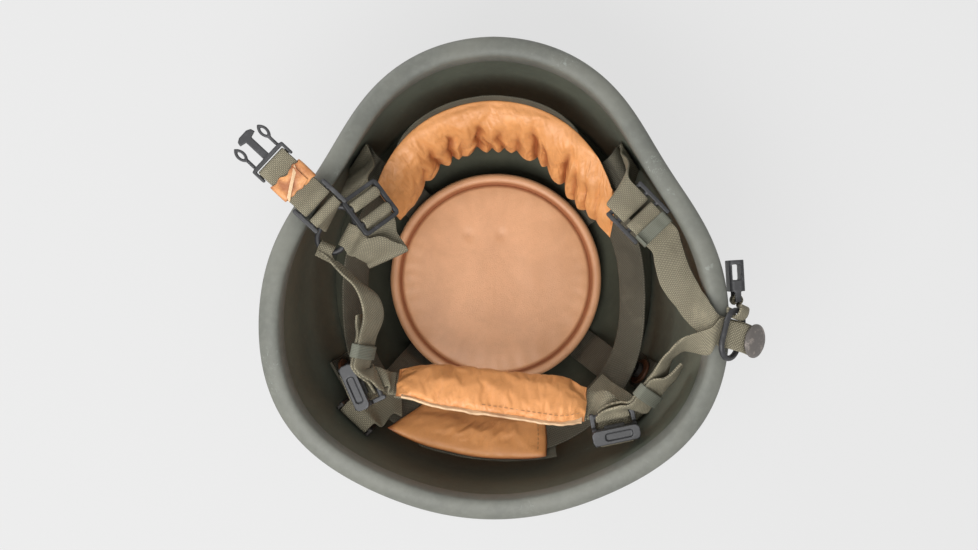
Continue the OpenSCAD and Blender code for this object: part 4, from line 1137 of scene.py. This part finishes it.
class HELMET_OT_trim(bpy.types.Operator):
    """Adds the rounded edge trim that is pushed over the rim, and the impact liner"""
    bl_idname = "helmet.trim"
    bl_label = "Edge trim"

    def execute(self, context):
        sides = 288
        wide = SHELL_T / 2 + SEAT + LIP_OUT
        arc = sweep(180, 0, 12)
        count = len(arc) + 2 * len(LIP)

        def place(i, j):
            a = 360 * (j % sides) / sides
            top = rim_z(a)
            n = skin_normal(a, top)
            o = inward(a, top, SHELL_T / 2)
            up = n.cross(Vector((0, 0, 1)).cross(n)).normalized()
            wave = 0.35 * uneven(cosine(a) * 6, sine(a) * 6, 1.7)
            low = level(top, 17 / 18)

            def leg(depth):
                base = inward(a, top, depth)
                return base + (inward(a, low, depth) - base).normalized() * LIP_DEEP
            outer, inner = leg(0), leg(SHELL_T)
            ring = [outer + n * (SEAT + out) + up * rise for out, rise in LIP]
            ring += [o - n * (wide * cosine(q)) + up * (SEAT + (4.2 + wave) * sine(q) ** 0.85) for q in arc]
            ring += [inner - n * (SEAT + out) + up * rise for out, rise in reversed(LIP)]
            return ring[i % count]
        finish_piece(closed_sheet("rim_edge_trim", count, sides, place, weld=0.005),
                     "trim", "helmet", "edge_trim")
        back = SHELL_T + GAP
        liner = bowl("dark_impact_liner", lambda a: LINER_TOP, 128, 30, back, back + LINER_T)
        finish_piece(liner, "liner", "helmet", "impact_liner")
        return {"FINISHED"}


class HELMET_OT_fixings(bpy.types.Operator):
    """Adds the screws with their nuts and leather washers, and the rear brackets"""
    bl_idname = "helmet.fixings"
    bl_label = "Fixings"

    def execute(self, context):
        for node, finish in (("fixing_screws", "metal"), ("fixing_nuts", "metal"),
                             ("leather_washers", "washer leather"), ("rear_brackets", "metal")):
            finish_piece(moulded(node, 0.45, 3), finish, "helmet", node)
        return {"FINISHED"}


# Suspension
class HELMET_OT_headband(bpy.types.Operator):
    """Adds the headband, its anchor tabs and the fastening strip above the front pad"""
    bl_idname = "helmet.headband"
    bl_label = "Headband and tabs"

    def execute(self, context):
        route = [(band_point(a, 0, 0), band_frame(a)[1] * (BAND_W / 2)) for a in range(0, 360, 6)]
        harness("headband_webbing", route, "headband", "dark webbing", closed=True, step=2.2, wave=0.1,
                seed=1)
        tabs = [strap("tab", tab_route(i), seed=2 + i, wave=0.12) for i in range(4)]
        finish_piece(join("anchor_tab_webbing", tabs), "dark webbing", "helmet", "anchor_tabs")
        strip = []
        for i, a in enumerate(sweep(58, 128, 24)):
            half = 4.25 * math.sqrt(max(0.1, 1 - abs(i / 12 - 1) ** 6))
            strip.append((band_point(a, BAND_W / 2 + 0.7 + half, 0.1), band_frame(a)[1] * half))
        harness("fastening_strip", strip, "hook_strip", "dark webbing", thickness=1.2, wave=0.1, seed=8,
                ragged=0.06)
        return {"FINISHED"}


class HELMET_OT_crown_straps(bpy.types.Operator):
    """Adds the two straps that cross under the crown pad"""
    bl_idname = "helmet.crown_straps"
    bl_label = "Crown straps"

    def execute(self, context):
        for letter, a, b, z in (("a", 36, 228, STRAP_LOW), ("b", 137, 322, STRAP_LOW - WEB_T - GAP)):
            harness("crown_webbing_" + letter, crown_route(a, b, z), "crown_strap_" + letter, "dark webbing",
                    seed=a, wave=0.12)
        return {"FINISHED"}


# The two pads on the headband. Azimuths of the ends, at the lower and at the upper edge, then the half
# height, where the middle lies across the band, and how far the upper edge dips
FRONT_PAD = (8, 150, 38, 143, 22, -4, 0)
REAR_PAD = (243, 291, 235, 286, 20, 0, 0.28)
# Leather that stands less than this in front of the band is sewn down
SEWN = 1.6


def pad_azimuth(form, j, k):
    """Degrees round the bowl at j along a pad and k up it, both from 0 to 1."""
    return mix(mix(form[0], form[2], k), mix(form[1], form[3], k), j)


def pad_point(form, j, s, n):
    """A point of a pad: j along it, s from its lower (-1) to its upper edge (1), n off the band."""
    half, middle, dip = form[4:]
    if s > 0:
        s *= 1 - dip * (1 - (2 * j - 1) ** 2)
    return band_point(pad_azimuth(form, j, (s + 1) / 2), middle + s * half, HALF_T + GAP + n)


def cushion(name, steps, over, under, top, back):
    """A pad's closed skin: top(t, q, end) lays its swollen side and back(t, s) its flat side."""
    def place(i, j):
        i = i % (over + under)
        t = min(max((j - 1) / (steps - 2), 0), 1)
        if i <= over:
            return top(t, math.pi * i / over, j in (0, steps))
        return back(t, mix(-1, 1, (i - over) / under))
    return closed_sheet(name, over + under, steps, place, weld=0.01)


def finish_pad(pad, body, node):
    """Rounds a leather pad off and puts it in the place of its drawn node."""
    modify(pad, "SUBSURF", levels=1, render_levels=1)
    smooth(pad, 80)
    return finish_piece(pad, "leather", body, node)


# Creases of the front pad: degrees round the bowl at the lower edge and at the far end, reach and depth
CREASES = ((126, 123, 0.7, 0.5), (116, 118, 0.9, 0.85), (108.5, 109, 0.95, 1.0), (103.5, 103.5, 0.7, 0.5),
           (97.5, 94.3, 1.0, 1.0), (91, 95.5, 0.7, 0.7), (84.5, 89.5, 0.8, 0.75), (78.5, 80.7, 0.8, 0.7),
           (68.4, 76.3, 1.0, 1.0), (62.3, 71.7, 0.8, 0.8), (52, 61.4, 1.0, 1.0), (41, 57.6, 0.95, 0.7),
           (30.7, 51.6, 1.0, 0.6), (22, 44.5, 1.0, 0.5))


def gather(j, s):
    """How high the front pad's leather stands between its creases at a place, from 0 to 1."""
    k = (s + 1) / 2
    a = pad_azimuth(FRONT_PAD, j, k) + 2.2 * uneven(j * 11, s * 2.1, 8)
    high = 1.0
    for low, far, reach, fall in CREASES:
        away = abs(a - mix(low, far, min(1.15, k / reach)))
        fade = 1 - ease((k / reach - 0.45) / 0.6)
        high = min(high, 1 - fall * fade * math.exp(-(away / 2.3) ** 1.2))
    return high


def front_place(j, s, top, q):
    """A point of the front pad: j along the band, s from its lower edge (-1) to its upper edge (1)."""
    draw = math.sqrt(max(0.05, 1 - abs(2 * j - 1) ** 3.5))
    s = s * mix(0.82, 1, draw)
    s *= mix(0.4, 1, ease(j / 0.35)) if s < 0 else 1
    ends = ease((1 - abs(2 * j - 1)) / 0.3)
    low = min(1, max(0, (1 - s) / 2)) * ends
    puff = gather(j, s)
    edge = 0.15 * (puff - 0.6) * low ** 1.5
    if not top:
        return pad_point(FRONT_PAD, j, s - edge * 0.9, 0), puff, low
    depth = bpy.context.scene.helmet_sizes.gather_depth / MM
    swell = 10 * draw * mix(0.5, 1, ease(j / 0.25)) * math.sin(q) ** 0.8
    deep = mix(0.8, 1, low) * ends
    n = 0.8 + swell * 0.93 + (puff - 0.75) * deep * depth * math.sin(q) ** 0.5
    lump = uneven(j * 19, s * 1.7, 6.0) * 1.5 * ends
    wrinkle = uneven(j * 46, s * 3.1, 4.0) * 0.8 + uneven(j * 95, s * 7, 9.0) * 0.35
    right = ease((0.3 - j) / 0.25)
    long_folds = math.sin(9 * s + 26 * j) * 0.8 * right
    left = ease((j - 0.72) / 0.2)
    creep = uneven(j * 30 + s * 6, s * 9, 2.0) * 0.8 * left
    loose = (lump + wrinkle + long_folds + creep) * math.sin(q)
    return pad_point(FRONT_PAD, j, s - edge, n + loose), puff, low


def band_side(p):
    """How far a point stands in front of the headband, towards the middle of the bowl."""
    f = band_frame(math.degrees(math.atan2(p.y, p.x)))
    return (Vector(p) - f[0]).dot(f[2])


class HELMET_OT_front_pad(bpy.types.Operator):
    """Adds the brow pad, drawn into gathers along its lower edge"""
    bl_idname = "helmet.front_pad"
    bl_label = "Gathered front pad"

    def execute(self, context):
        shade = {}

        def key(p):
            return tuple(round(c, 2) for c in p)

        # Painted shade: each point keeps how deep it lies between the gathers, and the leather is darkened
        # there.
        def shaded(p, puff, low):
            shade[key(p)] = (1 - puff) * min(1, 0.6 + low)
            return p

        def top(t, q, end):
            s = math.cos(q)
            return shaded(*front_place(t, math.copysign(abs(s) ** 0.9, s), True, 0 if end else q))

        def back(t, s):
            return shaded(*front_place(t, s, False, 0))
        pad = cushion("front_leather_pad", 330, 40, 14, top, back)
        fold_shade = [shade.get(key(v.co / MM), 0) for v in pad.data.vertices]
        relax_as_cloth(pad, lambda i, p: fold_shade[i] > 0.55 or band_side(p) < SEWN, 3, 2.2, 0.02)
        note_fold_shade_and_tone(pad, lambda i, p: fold_shade[i])
        finish_pad(pad, "helmet", "front_pad")
        return {"FINISHED"}


class HELMET_OT_rear_pad(bpy.types.Operator):
    """Adds the rear pad on its webbing backing"""
    bl_idname = "helmet.rear_pad"
    bl_label = "Rear pad"

    def execute(self, context):
        def draw(t):
            return math.sqrt(max(0.03, 1 - abs(2 * t - 1) ** 5))

        def top(t, q, end):
            s = math.cos(q) * mix(0.93, 1, draw(t))
            lift = 0 if end else math.sin(q) ** 0.75
            pull = uneven(t * 7, s * 2.2, 3) * 0.8 + uneven(t * 19, s * 3, 7) * 0.3
            return pad_point(REAR_PAD, t, s, 0.8 + (8 * draw(t) * 0.9 + pull) * lift)

        def back(t, s):
            return pad_point(REAR_PAD, t, s * mix(0.93, 1, draw(t)), 0)
        pad = cushion("rear_leather_pad", 90, 30, 10, top, back)
        relax_as_cloth(pad, lambda i, p: band_side(p) < SEWN, 3, 1.4, 0.03)
        # Painted shade: the leather is darkened where it lies within about 3.5 mm of the band, along its sewn
        # edges and ends.
        note_fold_shade_and_tone(pad, lambda i, p: 1 - (band_side(p) - 1) / 2.5)
        finish_pad(pad, "helmet", "rear_pad")
        seam = [pad_point(REAR_PAD, 0.955, s, 4.6 + 1.2 * (1 - s * s)) for s in sweep(-0.9, 0.9, 20)]
        finish_piece(stitch_row("rear_pad_stitches", seam, [band_frame(288)[2]] * 21), "thread", "helmet")
        route = []
        for t in sweep(0.2, 1.06, 12):
            a, b = pad_point(REAR_PAD, t, 0.9, -3.3), pad_point(REAR_PAD, t, -0.9, -3.3)
            route.append(((a + b) / 2, (a - b) / 2))
        harness("rear_pad_webbing", route, "rear_pad_backing", "dark webbing", wave=0.1, seed=21)
        return {"FINISHED"}


class HELMET_OT_crown_pad(bpy.types.Operator):
    """Adds the round crown pad with its raised sewn rim"""
    bl_idname = "helmet.crown_pad"
    bl_label = "Crown pad"

    def execute(self, context):
        r, t, z, bead = CROWN_R, CROWN_T, CROWN_Z, 6.3
        sides = 224
        profile = [(0, z + 2.3), (r - 5.8, z + 2.3), (r - 5.8, z), (r - 1.6, z)]
        for q in range(-75, 151, 15):
            profile.append((r - bead / 2 + bead / 2 * cosine(q),
                            z + t - bead / 2 + (t - bead if q < 0 else bead / 2) * sine(q)))
        inner = r - bead - 1.5
        profile.append((inner + 0.9, z + t - 3.3))
        for i in range(1, 40):
            k = (i / 39) ** 1.25
            profile.append((inner * (1 - k), z + t - 1.8 + 3.4 * max(0, 1 - (1 - k) ** 2.6) ** 0.5))
        rows = len(profile) - 1
        dimples = ((-15.4, 24.8), (4.6, 24.8))

        def from_middle(p):
            return math.hypot(p.x - PAD_MID.x, p.y - PAD_MID.y)

        def pressed(p, spread):
            """How strongly a point is pressed in by the two dimples."""
            return sum(bell(math.hypot(p.x - x, p.y - y), 0, spread) for x, y in dimples)

        def place(i, j):
            a = math.tau * (i % sides) / sides
            x, h = profile[j]
            out = x / r
            wob = 1 + 0.004 * uneven(math.cos(a) * 2.2, math.sin(a) * 2.2, 5) * min(1, out * 2)
            p = Vector((x * wob * math.cos(a), x * wob * math.sin(a), h)) + PAD_MID
            if j > 20 and x < inner + 1:
                pleat = math.sin(31 * a + 3 * math.sin(4 * a)) * 0.16 * bell(x, inner - 3, 4)
                soft = uneven(p.x / 26, p.y / 60, 1) * 0.9 * (1 - out ** 6)
                soft += uneven(p.x / 9, p.y / 34, 6) * 0.28 * (1 - out ** 6)
                p.z += pleat + soft - pressed(p, 2.2) * 0.7
            return p
        pad = closed_sheet("crown_leather_pad", sides, rows, place, weld=0.02)
        relax_as_cloth(pad, lambda i, p: from_middle(p) > inner - 1.5 or p.z < z + 4, 2, 1.2, 0.0, 12)

        # Painted shade in the groove inside the raised rim and in the two dimples; the raised rim is made a
        # little darker as well.
        def groove_shade_and_dark_rim(i, p):
            x = from_middle(p)
            groove = bell(x, inner + 0.8, 1.1) if p.z > z + 4 else 0
            return groove * 0.9 + pressed(p, 1.8) * 0.35 + (0.35 if x > r - bead else 0)
        note_fold_shade_and_tone(pad, groove_shade_and_dark_rim)
        smooth(pad, 75)
        finish_piece(pad, "crown leather", "helmet", "crown_pad_cover")
        return {"FINISHED"}


class HELMET_OT_rear_hangers(bpy.types.Operator):
    """Adds the webbing that turns round the rear brackets"""
    bl_idname = "helmet.rear_hangers"
    bl_label = "Rear hangers"

    def execute(self, context):
        for side, route in (("left", rear_hanger_left_route()), ("right", rear_hanger_right_route())):
            name = "rear_hanger_webbing_" + side
            harness(name, route, "rear_hanger_" + side, seed=len(name))
        return {"FINISHED"}


# Harness
YARNS = 26
TACKS = (2.5, 6, 9.5)


def frayed_end(name, p, h, ahead):
    """Loose yarns at the cut end of a strap."""
    rnd = random.Random(3)
    parts = []
    for i in range(YARNS):
        start = p + h * rnd.uniform(-0.95, 0.95)
        reach = ahead * rnd.uniform(2.5, 6.5)
        bend = Vector((rnd.uniform(-2, 2), rnd.uniform(-2, 2), rnd.uniform(-0.5, 2.5)))
        side = h.normalized() * 0.22
        route = [(start - ahead * 1.5, side), (start, side), (start + reach * 0.5 + bend * 0.3, side * 0.9),
                 (start + reach + bend, side * 0.5)]
        parts.append(strap("yarn", route, thickness=0.4, step=1.6, wave=0, seed=i, ragged=0))
    return join(name, parts)


def tack_lines(name, route, side):
    """Rows of stitches across a strap, at set distances from its end, on one side of it."""
    run = smooth_run(route[::-1], 1.0)
    gone, parts = 0.0, []
    wanted = list(TACKS)
    for i in range(1, len(run)):
        gone += (run[i][0] - run[i - 1][0]).length
        while wanted and gone >= wanted[0]:
            wanted.pop(0)
            p, h = run[i]
            up = (run[i][0] - run[i - 1][0]).cross(h).normalized() * side
            line = [p + h * v + up * (HALF_T + 0.08) for v in (-0.86, -0.43, 0, 0.43, 0.86)]
            parts.append(stitch_row("row", line, [up] * 5, length=1.9, width=0.45, lift=0.02))
    return finish_piece(join(name, parts), "olive thread", "helmet")


class HELMET_OT_right_side(bpy.types.Operator):
    """Adds the right hanger, both right chin straps and the loop of the receiving buckle"""
    bl_idname = "helmet.right_side"
    bl_label = "Right harness"

    def execute(self, context):
        harness("right_hanger_webbing", hanger_right_route(), "hanger_right", seed=31)
        front = chin_front_right_route()
        harness("right_front_chin_strap", front, "chin_strap_front_right", seed=32)
        harness("receiver_webbing_loop", receiver_loop_route(), "receiver_loop", seed=33, wave=0.08)
        rear = chin_rear_right_route()
        harness("right_rear_chin_strap", rear, "chin_strap_rear_right", seed=34)
        p, h = front[0]
        fray = frayed_end("frayed_strap_end", p, h, (p - front[1][0]).normalized())
        finish_piece(fray, "olive thread", "helmet")
        tack_lines("right_strap_stitches", rear, -1)
        return {"FINISHED"}


class HELMET_OT_left_side(bpy.types.Operator):
    """Adds the left hanger, both left chin straps and the link to the ladder slide"""
    bl_idname = "helmet.left_side"
    bl_label = "Left harness"

    def execute(self, context):
        harness("left_hanger_webbing", hanger_left_route(), "hanger_left", seed=41)
        harness("left_front_chin_strap", chin_front_left_route(), "chin_strap_front_left", seed=42)
        harness("ring_link_webbing", ring_link_route(), "ring_link", seed=43, closed=True, wave=0.05)
        rear = chin_rear_left_route()
        harness("left_rear_chin_strap", rear, "chin_strap_rear_left", seed=44)
        tack_lines("left_strap_stitches", rear, 1)
        return {"FINISHED"}


class HELMET_OT_nape_strap(bpy.types.Operator):
    """Adds the nape strap and its two ends"""
    bl_idname = "helmet.nape_strap"
    bl_label = "Nape strap"

    def execute(self, context):
        for side, c, t, way, middle in (("left", CAM_L, 0, -1, ((2.5, 13.5, -5.4), (4.6, 0.3, 3.2))),
                                        ("right", CAM_R, 1, 1, ((-2.5, 13.5, -5.6), (-4.2, -5.2, 0.7)))):
            node = "nape_strap_" + side
            piece = strap("nape_strap_end_" + side, nape_loop(c, t, way, middle), seed=50 + t)
            paint(piece, "webbing")
            start = nape_point(t + way * 14 / NAPE_LEN, 0, 0) * MM
            tuple(nape_point(t, 0, 0) * MM)
            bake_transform(piece)
            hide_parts(node)
        cut = NAPE_CUT / NAPE_LEN
        layers = []
        for n in (LAYER, -LAYER):
            route = [(nape_point(t, 0, n), nape_up(t) * HALF_WEB) for t in sweep(cut, 1 - cut, 16)]
            layers.append(strap("layer", route, seed=53 + n, wave=0.08))
        finish_piece(join("nape_strap_webbing", layers), "webbing", "nape_pad", "nape_strap")
        return {"FINISHED"}


# The nape pad: half its height, how far it reaches along the strap, and its stitched part
NAPE_PAD_HALF = 16.5
NAPE_PAD_ENDS = (0.01, 0.99)
NAPE_SEAM = (0.45, 0.97)


class HELMET_OT_nape_pad(bpy.types.Operator):
    """Adds the padded leather sleeve on the nape strap"""
    bl_idname = "helmet.nape_pad"
    bl_label = "Nape pad"

    def execute(self, context):
        low = LAYER + HALF_T + GAP

        def along(k):
            return mix(*NAPE_PAD_ENDS, k)

        def facing(t):
            return nape_up(t).cross(NAPE_ALONG)

        def half(k):
            return NAPE_PAD_HALF * mix(0.72, 1, ease(min(k * 4, (1 - k) * 7)))

        def top(k, q, end):
            s = math.cos(q)
            draw = math.sqrt(max(0.06, 1 - abs(2 * k - 1) ** 5))
            full = 0 if end else math.sin(q) ** 0.7
            pull = uneven(k * 9, s * 1.8, 13) * 0.9 + uneven(k * 26, s * 2.6, 17) * 0.35
            return nape_point(along(k), half(k) * s + 1, low + 0.8 + (9 * draw * 0.92 + pull) * full)

        def back(k, s):
            return nape_point(along(k), half(k) * s + 1, low)
        pad = cushion("nape_leather_pad", 150, 34, 12, top, back)

        def off(p):
            t = (p - NAPE_L).dot(NAPE_ALONG) / NAPE_LEN
            return (p - nape_point(t, 0, 0)).dot(facing(t)) - low
        relax_as_cloth(pad, lambda i, p: off(p) < 1.0, 3, 1.5, 0.03)
        # Painted shade: the leather is darkened where it lies within about 3 mm of the strap, along its edges
        # and ends.
        note_fold_shade_and_tone(pad, lambda i, p: 0.9 - (off(p) - 0.5) / 2.6)
        finish_pad(pad, "nape_pad", "nape_pad")
        line, ups = [], []
        for k in sweep(*NAPE_SEAM, 60):
            t = along(k)
            line.append(nape_point(t, half(k) - 1.6, low + 6.2))
            ups.append(facing(t) + nape_up(t) * 0.8)
        stitches = stitch_row("nape_pad_stitches", line, ups)
        edge = []
        for k in sweep(0.03, 0.985, 80):
            t = along(k)
            curl = uneven(k * 11, 2, 21)
            side = (nape_up(t) + facing(t) * (0.35 + 0.5 * curl)).normalized() * 2.4
            edge.append((nape_point(t, half(k) + 1.2 + 0.7 * curl, low + 2.6 + 0.9 * curl), side))
        flange = strap("nape_pad_raw_edge", edge, thickness=1.3, step=1.2, wave=0.35, seed=77, ragged=0.3)
        note_fold_shade_and_tone(flange, lambda i, p: 0.25 + 0.6 * noise.noise(p / 7))
        finish_piece(flange, "raw leather", "nape_pad")
        finish_piece(stitches, "thread", "nape_pad")
        return {"FINISHED"}


def wrapped(f, w, h, r, half, start, stop):
    """Once round a flat section of half sizes w and h with corners of radius r, from start on to stop."""
    places = list(start)
    for x, z, first in ((w - r, h - r, 90), (w - r, r - h, 0), (r - w, r - h, -90), (r - w, h - r, -180)):
        places += [(x + r * cosine(first - 30 * i), z + r * sine(first - 30 * i)) for i in range(4)]
    return [(at(f, (x, 0, z)), f[2] * half) for x, z in places + list(stop)]


def keeper_route(f, tail):
    """Once round two layers of webbing, with the end lapped over the start and curled if tail is set."""
    h = 2.46
    end = [(7, h + 1.5), (9.5, h + 3.2), (10, h + 5.2)] if tail else [(6, h + 1.05)]
    lap = [(-6, h + 0.15), (-3, h + 0.9), (3, h + 1.0)]
    return wrapped(f, 10.75, h, 1.3, 4, [(-5, h), (0, h)], lap + end)


class HELMET_OT_keepers(bpy.types.Operator):
    """Adds the three elastic keepers and the torn leather sleeve"""
    bl_idname = "helmet.keepers"
    bl_label = "Keepers and sleeve"

    def execute(self, context):
        for name, f in (("keeper_front_right", KEEPER_FR), ("keeper_rear_right", KEEPER_RR),
                        ("keeper_rear_left", KEEPER_RL)):
            route = keeper_route(f, name == "keeper_front_right")
            piece = strap(name + "_elastic", route, thickness=0.85, step=0.9, wave=0.05, seed=61)
            finish_piece(piece, "elastic", name, name)
        f = shifted(LIFT, (0, 10.5, -LAYER))
        h = 2.5
        route = wrapped(f, 11, h, 1.1, 6, [(3.2, h + 0.2), (6, h)],
                        [(-7, h), (-3, h + 0.3), (2, h + 1.2), (6.5, h + 1.5)])
        sleeve = strap("torn_leather_sleeve", route, thickness=1.1, step=0.7, wave=0.25, seed=65, ragged=0.3)
        note_fold_shade_and_tone(sleeve, lambda i, p: 0.5 + 0.8 * noise.noise(p / 5))
        finish_piece(sleeve, "torn leather", "buckle_strap", "leather_sleeve")
        side = (f[2] + f[1] * 0.4).normalized() * 1.7
        flap = []
        for t in sweep(0, 1, 8):
            rise = h + 1.2 + 0.9 * math.sin(math.pi * t)
            flap.append((at(f, (mix(-9.5, 7, t), mix(-5.5, 4.5, t), rise)), side))
        torn = strap("torn_leather_flap", flap, thickness=1.0, step=0.7, wave=0.3, seed=66, ragged=0.3)
        note_fold_shade_and_tone(torn, lambda i, p: 0.1)
        finish_piece(torn, "raw leather", "buckle_strap")
        return {"FINISHED"}


# Moulded pieces that ride the helmet, and those that ride a body of their own name
FIXED_MOULDINGS = ("slide_buckle", "frame_buckle", "junction_ring_right", "junction_ring_left",
                   "ladder_slide", "cam_frame_right", "cam_frame_left")
MOVING_MOULDINGS = ("cam_lever_right", "cam_lever_left", "release_receiver", "release_plug",
                    "prong_front", "prong_back")


class HELMET_OT_buckles(bpy.types.Operator):
    """Adds the moulded buckles, rings, cam levers and the stud"""
    bl_idname = "helmet.buckles"
    bl_label = "Buckles and rings"

    def execute(self, context):
        for node in FIXED_MOULDINGS:
            finish_piece(moulded(node), "nylon", "helmet", node)
        for node in MOVING_MOULDINGS:
            finish_piece(moulded(node), "nylon", node, node)
        finish_piece(moulded("stud", 0.25, 4), "stud metal", "helmet", "stud")
        return {"FINISHED"}


class HELMET_OT_buckle_strap(bpy.types.Operator):
    """Adds the short strap between the ladder slide and the release buckle"""
    bl_idname = "helmet.buckle_strap"
    bl_label = "Buckle strap"

    def execute(self, context):
        piece = strap("buckle_strap_webbing", buckle_strap_route(), closed=True, seed=71, wave=0.08)
        paint(piece, "webbing")
        tuple(at(LIFT, (0, -3, 1.1)) * MM)
        tuple(at(LIFT, (0, 3, 1.1)) * MM)
        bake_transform(piece)
        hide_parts("buckle_strap_inner", "buckle_strap_outer")
        return {"FINISHED"}


NODE_LOOKS = {
    "shell": "paint", "edge_trim": "trim", "impact_liner": "liner", "crown_pad_base": "board",
    "fixing_screws": "metal", "fixing_nuts": "metal", "rear_brackets": "metal", "stud": "stud metal",
    "leather_washers": "washer leather", "front_pad": "leather", "rear_pad": "leather", "nape_pad": "leather",
    "crown_pad_cover": "crown leather", "leather_sleeve": "raw leather",
}

# Words in the names of the drawn parts that are webbing
WEBBING_WORDS = ("strap", "hanger", "loop", "link", "tab", "band", "backing", "strip")


class HELMET_OT_node_finishes(bpy.types.Operator):
    """Gives every drawn part its finish"""
    bl_idname = "helmet.node_finishes"
    bl_label = "Finishes of the drawn parts"

    def execute(self, context):
        for name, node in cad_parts.items():
            if name in NODE_LOOKS:
                kind = NODE_LOOKS[name]
            elif any(word in name for word in WEBBING_WORDS):
                kind = "webbing"
            elif "keeper" in name:
                kind = "elastic"
            else:
                kind = "nylon"
            for slot in node.material_slots:
                slot.material = look(kind)
            if not node.material_slots:
                node.data.materials.append(look(kind))
        return {"FINISHED"}


# The stage: greys of the floor, lit and glowing, the lamps with their place, width and power, the pale
# world and the camera
FLOOR_GREYS = (0.80, 0.82)
FLOOR_GLOW = 0.79
LAMPS = {
    "soft_overhead_lamp": ((-0.25, -0.55, 1.2), 0.8, 15.4),
    "low_side_lamp": ((-1.3, 1.1, 0.5), 1.0, 12.8),
}
WORLD_STRENGTH = 0.55
CAMERA_PLACE = (-0.00285, 0, 1.465)
CAMERA_LENS = 83.84


class HELMET_OT_stage(bpy.types.Operator):
    """Adds the pale floor, the light and the camera above the bowl"""
    bl_idname = "helmet.stage"
    bl_label = "Floor, light and camera"

    def execute(self, context):
        scene = context.scene
        deselect()
        bpy.ops.mesh.primitive_grid_add(x_subdivisions=8, y_subdivisions=8, size=8, location=(0, 0, -0.0004))
        floor = context.object
        floor.name = floor.data.name = "pale_floor"
        f = Finish("pale floor")
        cloudy = f.cloud(f.place(), 3, 2)
        grey = f.blend(cloudy, *((shade,) * 3 for shade in FLOOR_GREYS))
        lit = f.node("BsdfPrincipled", {}, {"Base Color": grey, "Roughness": 0.9})
        plain = f.node("Emission", {}, {"Color": (FLOOR_GLOW,) * 3, "Strength": 1.0})
        path = f.node("LightPath")
        seen = Reading(f, path.outputs["Is Camera Ray"]).at_least(Reading(f, path.outputs["Is Glossy Ray"]))
        mixed = f.node("MixShader", {}, {0: seen * 0.85, 1: lit.outputs[0], 2: plain.outputs[0]})
        f.node("OutputMaterial", {}, {"Surface": mixed.outputs[0]})
        floor.data.materials.append(f.material)

        world = bpy.data.worlds.new("soft studio")
        scene.world = world
        world.use_nodes = True
        world.node_tree.nodes["Background"].inputs["Color"].default_value = (1, 1, 1, 1)
        world.node_tree.nodes["Background"].inputs["Strength"].default_value = WORLD_STRENGTH

        for name, (place, size, power) in LAMPS.items():
            bpy.ops.object.light_add(type="AREA", location=place)
            lamp = context.object
            lamp.name = lamp.data.name = name
            lamp.data.size = size
            lamp.data.energy = power
            lamp.rotation_euler = (Vector((0, 0, 0.1)) - lamp.location).to_track_quat("-Z", "Y").to_euler()

        bpy.ops.object.camera_add(location=CAMERA_PLACE, rotation=(0, 0, 0))
        camera = context.object
        camera.name = "overhead_camera"
        camera.data.sensor_width = 36
        camera.data.lens = CAMERA_LENS
        scene.camera = camera
        scene.view_settings.view_transform = "Standard"
        return {"FINISHED"}


STEPS = (HELMET_OT_node_finishes, HELMET_OT_bowl, HELMET_OT_trim, HELMET_OT_fixings, HELMET_OT_headband,
         HELMET_OT_crown_straps, HELMET_OT_crown_pad, HELMET_OT_front_pad, HELMET_OT_rear_pad,
         HELMET_OT_rear_hangers, HELMET_OT_right_side, HELMET_OT_left_side, HELMET_OT_buckle_strap,
         HELMET_OT_nape_strap, HELMET_OT_nape_pad, HELMET_OT_keepers, HELMET_OT_buckles, HELMET_OT_stage)


class HELMET_PT_workbench(bpy.types.Panel):
    """Lists the steps that dress the helmet"""
    bl_idname = "HELMET_PT_workbench"
    bl_label = "Ballistic helmet"
    bl_space_type = "VIEW_3D"
    bl_region_type = "UI"
    bl_category = "Helmet"

    def draw(self, context):
        sizes, colours = context.scene.helmet_sizes, context.scene.helmet_colours
        box = self.layout.box()
        for key in HelmetSizes.__annotations__:
            box.prop(sizes, key)
        box = self.layout.box()
        for key in HelmetColours.__annotations__:
            box.prop(colours, key)
        column = self.layout.column(align=True)
        for step in STEPS:
            column.operator(step.bl_idname)


CLASSES = (HelmetSizes, HelmetColours) + STEPS + (HELMET_PT_workbench,)


def register():
    for c in CLASSES:
        bpy.utils.register_class(c)
    bpy.types.Scene.helmet_sizes = bpy.props.PointerProperty(type=HelmetSizes)
    bpy.types.Scene.helmet_colours = bpy.props.PointerProperty(type=HelmetColours)


def unregister():
    del bpy.types.Scene.helmet_colours
    del bpy.types.Scene.helmet_sizes
    for c in reversed(CLASSES):
        bpy.utils.unregister_class(c)


def main():
    register()
    bpy.ops.helmet.node_finishes()
    bpy.ops.helmet.bowl()
    bpy.ops.helmet.trim()
    bpy.ops.helmet.fixings()
    bpy.ops.helmet.headband()
    bpy.ops.helmet.crown_straps()
    bpy.ops.helmet.crown_pad()
    bpy.ops.helmet.front_pad()
    bpy.ops.helmet.rear_pad()
    bpy.ops.helmet.rear_hangers()
    bpy.ops.helmet.right_side()
    bpy.ops.helmet.left_side()
    bpy.ops.helmet.buckle_strap()
    bpy.ops.helmet.nape_strap()
    bpy.ops.helmet.nape_pad()
    bpy.ops.helmet.keepers()
    bpy.ops.helmet.buckles()
    bpy.ops.helmet.stage()
    bpy.context.view_layer.update()


if __name__ == "__main__":
    main()
